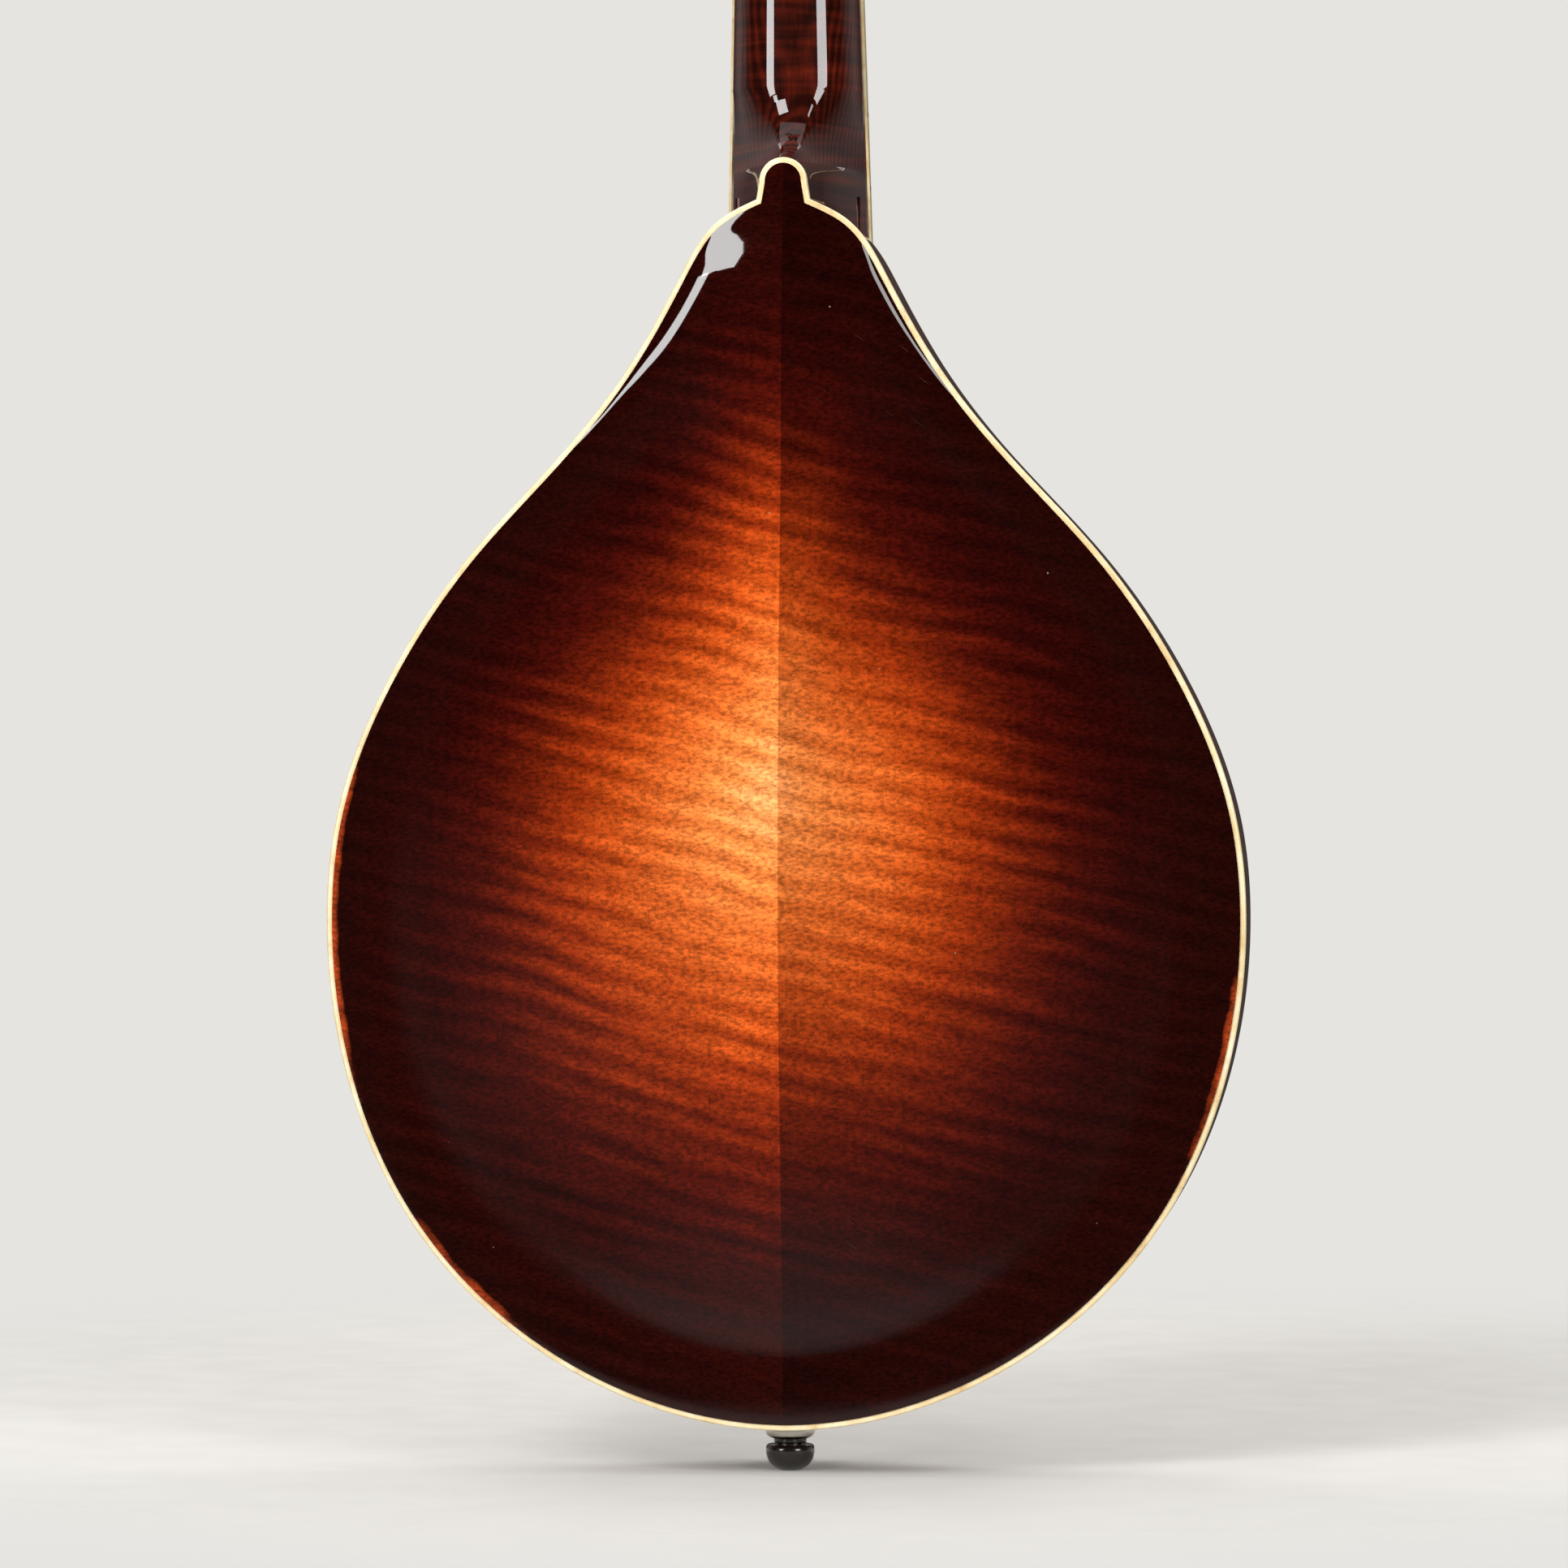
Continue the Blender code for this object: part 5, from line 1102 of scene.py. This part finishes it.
gear_screw = screw_head(0.0017, 0.0006)
for number, x, z in POSTS:
    side = 1 if x > 0 else -1
    lay = rotated(90, "Y") if side > 0 else rotated(180, "Z") @ rotated(90, "Y")
    place = HEAD @ at(side * worm_start, SHAFT_Y, z + CENTRES) @ lay
    key, rides = f"key_{number}", f"post_{number}"
    make(f"key_shaft_{number}", *shaft, place, nickel, key, ["tuner_" + key])
    make(f"key_button_{number}", *button, place, ivoroid, key)
    place = HEAD @ at(x, 0, z)
    make(rides + "_turned", *post, place @ FACE_OUT, nickel, rides, ["string_" + rides])
    make(rides + "_gear", *gear, place, brass, rides)
    make(rides + "_screw", *gear_screw, place @ at(0, GEAR_Y[1] + 0.0004, 0) @ BACK_OUT, nickel, rides)


# The bridge: an ebony foot carved to the arch of the top, two threaded studs with knurled
# thumbwheels, and an ebony saddle whose crest is filed back under each pair of strings.

BRIDGE_DISTANCE = 0.3540
STRINGS_OVER_NECK = 0.0084
BRIDGE_Z = -BRIDGE_DISTANCE * math.cos(NECK_PITCH) - BODY_TOP_Z
BRIDGE_TOP_Y = -BRIDGE_DISTANCE * math.sin(NECK_PITCH) - STRINGS_OVER_NECK * math.cos(NECK_PITCH) - BODY_FRONT_Y
FOOT_HALF = 0.058
SADDLE_HALF = 0.0545
STUD_X = 0.0265
# The y of the foot's top, by how far it is from the middle
FOOT_TOP = [(0.0325, -0.0178), (0.0355, -0.0166), (0.0400, -0.0152), (0.0560, -0.0128), (0.0580, -0.0118)]


def between(value, *knots):
    """The value's height on the straight lines through the knots."""
    return np.interp(value, *zip(*knots))


def rounded_row(x, low, high, foot, crest, lean=0.0):
    """A ring across a bridge piece at x: low is a list of y under it, high the y of its top. foot and crest
    are half its thickness there, and lean moves the crest along the strings."""
    ring = [(x, y, BRIDGE_Z + z) for y, z in zip(low, np.linspace(-foot, foot, len(low)))]
    edge = rounded_edge(min(0.0006, crest * 0.7), 4)
    middle = BRIDGE_Z + lean
    ring += [(x, high + deep, middle + crest - aside) for aside, deep in edge]
    return ring + [(x, high + deep, middle - crest + aside) for aside, deep in reversed(edge)]


rings = []
for x in np.linspace(-FOOT_HALF, FOOT_HALF, 117):
    reach = abs(x)
    high = between(reach, *FOOT_TOP)
    cavity = between(reach, (0.0165, -0.0140), (0.0195, -0.0128), (0.0230, -0.0050))
    half = 0.0057 - 0.0012 * max((reach - 0.050) / 0.008, 0) ** 2
    under = top_at([(reach, BRIDGE_Z + z) for z in np.linspace(-half, half, 7)])
    rings.append(rounded_row(x, [min(cavity, y) for y in under], high, half, half - 0.0003))
make("bridge_foot", *skin(rings), BODY, ebony, instead_of=["bridge_base"])

# Where each pair of strings crosses, the crest is filed back or forward to set its length
FILED = [
    (-0.0290, -0.0009), (-0.0145, -0.0009), (-0.0130, 0.0002), (-0.0008, 0.0002),
    (0.0008, -0.0006), (0.0130, -0.0006), (0.0145, 0.0006), (0.0290, 0.0006),
]
rings = []
for x in np.linspace(-SADDLE_HALF, SADDLE_HALF, 219):
    reach = abs(x)
    low = between(reach, (0.0320, -0.0217), (0.0430, -0.0235), (0.0530, -0.0240), (0.0545, -0.0250))
    top = BRIDGE_TOP_Y + 0.00008
    high = between(reach, (0.0290, top), (0.0400, -0.0277), (0.0500, -0.0268), (0.0545, -0.0256))
    foot = between(reach, (0.0330, 0.0042), (0.0500, 0.0038), (0.0545, 0.0026))
    crest = between(reach, (0.0240, 0.0013), (0.0320, 0.0016), (0.0500, 0.0021), (0.0545, 0.0022))
    step = between(x, *FILED) * between(reach, (0.0230, 1), (0.0300, 0))
    rings.append(rounded_row(x, [low] * 7, high, foot, crest, step))
saddle = make("bridge_saddle_carved", *skin(rings), BODY, ebony, "saddle", ["bridge_saddle"])
bore = turned([(0.0022, 0.0190), (0.0022, 0.0262)], 32)
for side in (-1, 1):
    union(saddle, *moved(bore, at(side * STUD_X, 0, BRIDGE_Z) @ FACE_OUT), BODY, "DIFFERENCE")


def knurl(angle, radius, height):
    """Thirty flutes round the wheel's rim."""
    return 0.00022 * math.cos(30 * angle) if radius > 0.0060 else 0


def thread(angle, radius, height):
    """A thread of 0.7 mm pitch."""
    return 0.00012 * math.cos(2 * math.pi * height / 0.0007 - angle)


wheel = [
    (0.0021, 0.0194), (0.0060, 0.0194), (0.0069, 0.0196), (0.0070, 0.0199),
    (0.0070, 0.0209), (0.0069, 0.0212), (0.0060, 0.0214), (0.0021, 0.0214),
]
wheel = turned(wheel, 240, ring=True, swell=knurl)
stud = turned([(0.00158, h) for h in np.linspace(0.0150, 0.0236, 90)], 24, swell=thread)
for side_name, side in SIDES:
    place = BODY @ at(side * STUD_X, 0, BRIDGE_Z) @ FACE_OUT
    stands_for = ["thumbwheel_" + side_name]
    make("thumbwheel_knurled_" + side_name, *wheel, place, nickel, "wheel_" + side_name, stands_for)
    make("stud_threaded_" + side_name, *stud, place, nickel, instead_of=["bridge_stud_" + side_name])


# The tailpiece: a stamped nickel plate screwed to the tail, bent over the top's edge into a tray
# with eight hooks. Its tab runs down to a pressed boss under the end pin. The cover slides on.

TAIL = OUTLINE[-1][1] - 0.0003
TAIL_METAL = 0.0010
TAIL_SLOPE = 0.143
TAIL_HALF = 0.0180
TAB_HALF = 0.0070
PIN_Y = 0.0205
PIN_SHAFT = 0.0040
HOOK_Z = -0.3240
HOOK_Y = -0.0088
TAIL_SPREAD = 0.66
COURSE_SPREAD_NUT = 0.0230
COURSE_SPREAD_BRIDGE = 0.0410
PAIR_NUT = 0.0009
PAIR_BRIDGE = 0.0013
# Each string's pair, its side of the pair, its diameter and its post
STRINGS = [
    ("g_outer", -0.5, -1, 0.00097, 1),
    ("g_inner", -0.5, 1, 0.00097, 2),
    ("d_outer", -1 / 6, -1, 0.00061, 3),
    ("d_inner", -1 / 6, 1, 0.00061, 4),
    ("a_inner", 1 / 6, -1, 0.00038, 8),
    ("a_outer", 1 / 6, 1, 0.00038, 7),
    ("e_inner", 0.5, -1, 0.00030, 6),
    ("e_outer", 0.5, 1, 0.00030, 5),
]


def bridge_across(course, offset):
    return course * COURSE_SPREAD_BRIDGE + offset * PAIR_BRIDGE


# The sheet's middle line, from the tail's face over the bend to the tray's end, as (y, z)
bend = [(0.0020, TAIL - 0.0005), (-0.0026, TAIL - 0.0005)]
for a in np.linspace(0.2, 1.3, 6):
    bend.append((-0.0026 - 0.0031 * math.sin(a), TAIL + 0.0026 - 0.0031 * math.cos(a)))
bend += [(-0.0058 - TAIL_SLOPE * s, TAIL + 0.0030 + s) for s in (0.001, 0.010, 0.020, 0.0335)]
bend = np.array(bend)
tangent = np.gradient(bend, axis=0)
tangent /= np.linalg.norm(tangent, axis=1)[:, None]
normal = np.column_stack([tangent[:, 1], -tangent[:, 0]]) * TAIL_METAL / 2
sheet = np.vstack([bend + normal, (bend - normal)[::-1]])
rings = [[(x, y, z) for y, z in sheet] for x in (-TAIL_HALF, -0.0175, 0.0175, TAIL_HALF)]
make("tailpiece_tray", *skin(rings), BODY, nickel, instead_of=["tailpiece"], sharp=50)

# Half of the tab's outline as (x, y): a square end, a waist, and a round end below the pin
under_tail = TAIL - TAIL_METAL
outline = [(TAIL_HALF, 0.0015), (TAIL_HALF, 0.0030)]
for a in np.linspace(0.3, 1.57, 5):
    outline.append((TAIL_HALF - 0.0018 * (1 - math.cos(a)), 0.0030 + 0.0018 * math.sin(a)))
for a in np.linspace(0, 1.57, 9):
    outline.append((TAB_HALF + 0.0050 * (1 - math.sin(a)), 0.0135 - 0.0087 * math.cos(a)))
for a in np.linspace(0, 1.57, 14):
    outline.append((TAB_HALF * math.cos(a), PIN_Y + TAB_HALF * math.sin(a)))
whole = outline + [(-x, y) for x, y in reversed(outline)]
rings = [[(x, y, z) for x, y in whole] for z in (TAIL - 0.00005, under_tail + 0.0002)]
rings.append([(x * 0.985, PIN_Y + (y - PIN_Y) * 0.985, under_tail) for x, y in whole])
make("tailpiece_tab", *skin(rings), BODY, nickel, sharp=50)
bore = PIN_SHAFT + 0.0004
boss = turned([
    (bore, 0.0), (0.0069, 0.0), (0.0069, 0.0008), (0.0067, 0.0014),
    (0.0060, 0.0021), (0.0050, 0.0025), (bore, 0.0026),
], 64, ring=True)
make("tailpiece_boss", *moved(boss, at(0, PIN_Y, under_tail) @ DOWN), BODY, nickel)
tail_screw = screw_head(0.0021, 0.0010)
screws = [
    moved(tail_screw, at(x, 0.0012, under_tail) @ DOWN @ Matrix.Rotation(slot, 4, "Z"))
    for x, slot in ((-0.013, 0.4), (0.013, 1.2))
]
make("tailpiece_screws", *joined(screws), BODY, nickel)


def tube(path, radius, sides=12):
    """A round wire along the path's points, with its ends closed."""
    path = [Vector(p) for p in path]
    turns = np.linspace(0, 2 * math.pi, sides, endpoint=False)
    rings = []
    ahead = (path[1] - path[0]).normalized()
    aside = ahead.orthogonal().normalized()
    for i, point in enumerate(path):
        after = path[min(i + 1, len(path) - 1)] - path[max(i - 1, 0)]
        turn = ahead.rotation_difference(after.normalized())
        ahead, aside = after.normalized(), turn @ aside
        other = ahead.cross(aside)
        rings.append([point + radius * (math.cos(a) * aside + math.sin(a) * other) for a in turns])
    return skin(rings)


# A hook's bent wire: y, and z from the string's end
bent = [(-0.0060, -0.0005)]
bent += [(HOOK_Y + 0.0004, -0.0012), (HOOK_Y - 0.0008, -0.0018), (HOOK_Y - 0.0012, -0.0032)]
hooks = []
for _, course, offset, _, _ in STRINGS:
    x = bridge_across(course, offset) * TAIL_SPREAD
    hooks.append(tube([(x, y, HOOK_Z + z) for y, z in bent], 0.00055, 10))
make("tailpiece_hooks", *joined(hooks), BODY, nickel)

COVER_LENGTH = 0.040
COVER_RISE = 0.0072
COVER_METAL = 0.0007
COVER_LOW = -0.0050
ROWS, COLUMNS = 30, 41
half = TAIL_HALF + GAP + COVER_METAL
tail = OUTLINE[-1][1] + 0.0035
swells = curve_through([(0, 0.80), (0.10, 0.93), (0.30, 1.0), (0.80, 1.0), (1, 0.95)], 4, ROWS)
points = []
for along, swell in swells:
    for a in np.sin(np.linspace(-math.pi / 2, math.pi / 2, COLUMNS)):
        rise = (1 - abs(a) ** 18) ** 0.55 * (1 - 0.05 * a * a)
        up = along * COVER_LENGTH
        y = COVER_LOW - TAIL_SLOPE * up - COVER_RISE * rise * min(swell, 1.0)
        points.append((half * a, y, tail + up))
points = np.array(points)
inwards = points * (-COVER_METAL / half, 0, 0) + (0, COVER_METAL, 0)
cover = thick(points, quads(ROWS, COLUMNS), inwards)
make("tailpiece_cover_domed", *cover, BODY, nickel, "cover", ["tailpiece_cover"])


# The end pin: turned ebony, held by friction in a tapered hole. It clamps the tailpiece's boss
# and holds a strap.

stops = [(0.35, "#0b0605"), (0.60, "#1c100b"), (0.75, "#2e1a12")]
sockets = {"Roughness": 0.22, "IOR": 1.5, "Coat_Weight": 0.6, "Coat_Roughness": 0.06}
pin_gloss = grained("turned_ebony", (1500, 1500, 120), 3.0, stops, sockets)
pin = [
    (0, -0.0230), (PIN_SHAFT - 0.0006, -0.0230), (PIN_SHAFT, 0), (0.0046, 0), (0.0046, 0.0004),
    (0.0044, 0.0009), (0.0045, 0.0013), (0.0058, 0.0013), (0.0063, 0.0014), (0.0067, 0.0019),
    (0.0068, 0.0025), (0.0068, 0.0036), (0.0065, 0.0048), (0.0060, 0.0060), (0.0052, 0.0070),
    (0.0042, 0.0078), (0.0030, 0.0083), (0, 0.0083),
]
place = BODY @ at(0, PIN_Y, under_tail - 0.0029) @ DOWN
make("end_pin_turned", *turned(pin, 64), place, pin_gloss, instead_of=["end_pin"])


# The strings: plain steel for the two high pairs, and bronze wound on steel for the two low ones.
# Each is looped on its hook, crosses the saddle and the nut, and is wound round its post.

stops = [(0.35, "#a9a8a6"), (0.65, "#d0cfcc")]
steel = grained("bright_steel_wire", 120.0, 3.0, stops, {"Metallic": 1.0, "Roughness": 0.22})
bronze, tree, shader = start_look("wound_bronze_wire", Metallic=1.0, Roughness=0.32)
# The winding is 0.2 mm wire. It is drawn at 0.35 mm, so that it shows
WINDING = 0.00035
links = {
    "Vector": add(tree, "TexCoord", out="Object"), "Scale": 2 * math.pi / (20 * WINDING), "Distortion": 0.0,
}
wind = add(tree, "TexWave", links, out=1, bands_direction="Z")
# The colour is darkest in the troughs of the waves, the grooves between turns: painted shade there
colour = add(tree, "ValToRGB", wind, stops=((0.1, "#5f4630"), (0.6, "#a98a5e"), (1.0, "#cdb182")))
tree.links.new(colour, shader.inputs["Base Color"])
relief(tree, shader, wind, 0.6)

NUT_OVER_BOARD = 0.0017
WOUND_FROM = 0.0005
WIND_HEIGHT = 0.0062
WIND_TURNS = 3.3
at_post = {number: (x, z) for number, x, z in POSTS}
for name, course, offset, diameter, post in STRINGS:
    wire = bronze if diameter > WOUND_FROM else steel
    r = diameter / 2
    bridge_x = bridge_across(course, offset)
    nut_x = course * COURSE_SPREAD_NUT + offset * PAIR_NUT
    hook_x = bridge_x * TAIL_SPREAD
    hook_at = BODY @ Vector((hook_x, HOOK_Y, HOOK_Z))
    top = BODY @ Vector((bridge_x, BRIDGE_TOP_Y - r, BRIDGE_Z))
    nut_y = -BOARD - NUT_OVER_BOARD - r
    nut_low, nut_high = [NECK @ Vector((nut_x, nut_y, z)) for z in (0.0002, 0.0055)]
    x, z = at_post[post]
    reach = POST_RADIUS + r + GAP
    inward = -1 if x > 0 else 1
    leave = HEAD @ Vector((x + inward * reach, -WIND_HEIGHT, z))
    loop = [hook_at + Vector((0, 0, 0.0012))]
    for a in np.linspace(0.35, 2 * math.pi - 0.35, 16):
        aside, down = 0.0011 * math.sin(a), -0.0016 + 0.0013 * math.cos(a)
        loop.append(BODY @ Vector((hook_x + aside, HOOK_Y + 0.0001, HOOK_Z + down)))
    loop.append(loop[0])
    tail_part = joined([
        tube([hook_at.lerp(top, t) for t in np.linspace(0, 1, 16)], r), tube(loop, min(r, 0.00022), 8),
    ])
    piece = make(f"string_{name}_tail", *tail_part, Matrix(), wire, None)
    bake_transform(piece)
    speaking = tube([nut_low.lerp(top, t) for t in np.linspace(0, 1, 40)], r)
    piece = make(f"string_{name}_speaking", *speaking, Matrix(), wire, None)
    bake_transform(piece)
    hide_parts("string_" + name)
    head_part = tube([nut_low, nut_high, nut_high.lerp(leave, 0.5), leave], r)
    make(f"string_{name}_head", *head_part, Matrix(), wire)
    coil = []
    for t in np.linspace(0, WIND_TURNS * 2 * math.pi, 110):
        left = WIND_TURNS * 2 * math.pi - t
        near = reach - (reach - 0.0012) * max(1 - left / 0.5, 0)
        height = WIND_HEIGHT - 1.06 * diameter * t / (2 * math.pi)
        coil.append((x + inward * near * math.cos(t), -height, z + near * math.sin(t)))
    make(f"string_{name}_winding", *tube(coil, r), HEAD, wire, f"post_{post}")


# The studio: a pale floor that fades out before its edge, soft lights like window panes behind the
# camera's shoulders, a soft light overhead and two from the front of the instrument.

floor_look, tree, shader = start_look("pale_floor", Roughness=0.9, Specular_IOR_Level=0.1)
place = add(tree, "TexCoord", out="Object")
far = add(tree, "VectorMath", {0: place}, out="Value", operation="LENGTH")
fade = add(tree, "MapRange", far, 0.16, 0.52, 1.0, 0.0, interpolation_type="SMOOTHSTEP")
speck = add(tree, "ValToRGB", noise(tree, place, 40.0, 3.0), stops=((0.3, "#dcd9d4"), (0.7, "#e2dfda")))
tree.links.new(speck, shader.inputs["Base Color"])
tree.links.new(fade, shader.inputs["Alpha"])
mesh = bpy.data.meshes.new("floor")
solid = bmesh.new()
bmesh.ops.create_circle(solid, cap_ends=True, segments=96, radius=0.6)
solid.to_mesh(mesh)
solid.free()
mesh.materials.append(floor_look)
floor = new_object("floor", mesh)
floor.location = (0, -0.22, cad_box[0].z - 0.0002)

# The world is pale to the camera and in reflections of its sides and floor. Straight ahead and behind
# the camera the room is dim, so that the lacquer stays deep.
world = bpy.data.worlds.new("studio")
world.use_nodes = True
tree = world.node_tree
tree.nodes.clear()
path = add(tree, "LightPath", out=None)
way = add(tree, "SeparateXYZ", add(tree, "TexCoord", out="Generated"), out=None)
ahead = add(tree, "MapRange", way["Y"], -1.0, 1.0)
room = add(
    tree, "ValToRGB", ahead,
    stops=((0.0, "#3a3a3a"), (0.09, "#585858"), (0.24, "#d0d0d0"), (0.40, "#a8a8a8"), (0.55, "#000000")),
)
room = add(tree, "Math", room, add(tree, "MapRange", way["Z"], -0.78, -0.56, 0.5, 0.0), operation="MAXIMUM")
# Only the lower half of the arch reflects this faint light from behind the camera
veil = add(
    tree, "ValToRGB", ahead,
    stops=((0.90, "#000000"), (0.945, "#747474"), (0.975, "#585858"), (1.0, "#343434")),
)
veil = add(tree, "Math", veil, add(tree, "MapRange", way["Z"], -0.16, 0.14, 1.0, 0.0), operation="MULTIPLY")
room = add(tree, "Math", room, veil, operation="MAXIMUM")
glossy = add(tree, "Math", path["Is Glossy Ray"], path["Is Transmission Ray"], operation="MAXIMUM")
seen = add(
    tree, "Math", path["Is Camera Ray"], add(tree, "Math", glossy, room, operation="MULTIPLY"),
    operation="MAXIMUM",
)
lighting, backdrop, dark_side = [
    add(tree, "Background", {"Color": hex_colour(colour), "Strength": strength})
    for colour, strength in (("#ffffff", 0.26), ("#e6e4e0", 1.0), ("#ffffff", 0.012))
]
by_gloss = add(tree, "MixShader", {0: path["Is Glossy Ray"], 1: lighting, 2: dark_side})
surface = add(tree, "MixShader", {0: seen, 1: by_gloss, 2: backdrop})
add(tree, "OutputWorld", surface, out=None)
bpy.context.scene.world = world

AIM = Vector((0, 0.02, -0.33))
for name, place, size, energy in (
    ("left_low_pane", (1.09, 1.36, -0.13), (0.42, 0.42), 8),
    ("left_middle_pane", (0.92, 1.39, 0.25), (0.22, 0.26), 2.6),
    ("left_high_pane", (0.62, 1.33, 0.62), (0.54, 0.62), 14.5),
    ("right_low_pane", (-1.16, 1.28, -0.08), (0.57, 0.54), 12),
    ("right_high_pane", (-0.95, 1.32, 0.70), (0.24, 0.60), 4),
    ("overhead", (0.0, 0.1, 1.60), (2.0, 2.0), 14),
    ("front_left", (-1.00, -1.10, 1.35), (1.2, 1.0), 11),
    ("front_right", (1.00, -1.10, 1.35), (1.2, 1.0), 11),
):
    lamp = bpy.data.lights.new(name, "AREA")
    lamp.shape = "RECTANGLE"
    lamp.size, lamp.size_y = size
    lamp.energy = energy
    box = new_object(name, lamp)
    box.location = place
    box.rotation_euler = (AIM - Vector(place)).to_track_quat("-Z", "Y").to_euler()

# The camera stands level behind the instrument, a little to the bass side, with a long lens
CAMERA_TURN = math.radians(6)
DISTANCE = 1.75
FIELD = 0.4305
SENSOR = 36
target = Vector((-0.0004, 0.0304, -0.3362))
camera = new_object("camera", bpy.data.cameras.new("camera"))
camera.data.sensor_width = SENSOR
camera.data.lens = SENSOR * DISTANCE / FIELD
away = Vector((-math.sin(CAMERA_TURN), math.cos(CAMERA_TURN), 0))
camera.location = target + DISTANCE * away
camera.rotation_euler = (-away).to_track_quat("-Z", "Y").to_euler()
camera.data.clip_start, camera.data.clip_end = 0.05, 50
bpy.context.scene.camera = camera
bpy.context.scene.view_settings.view_transform = "Standard"
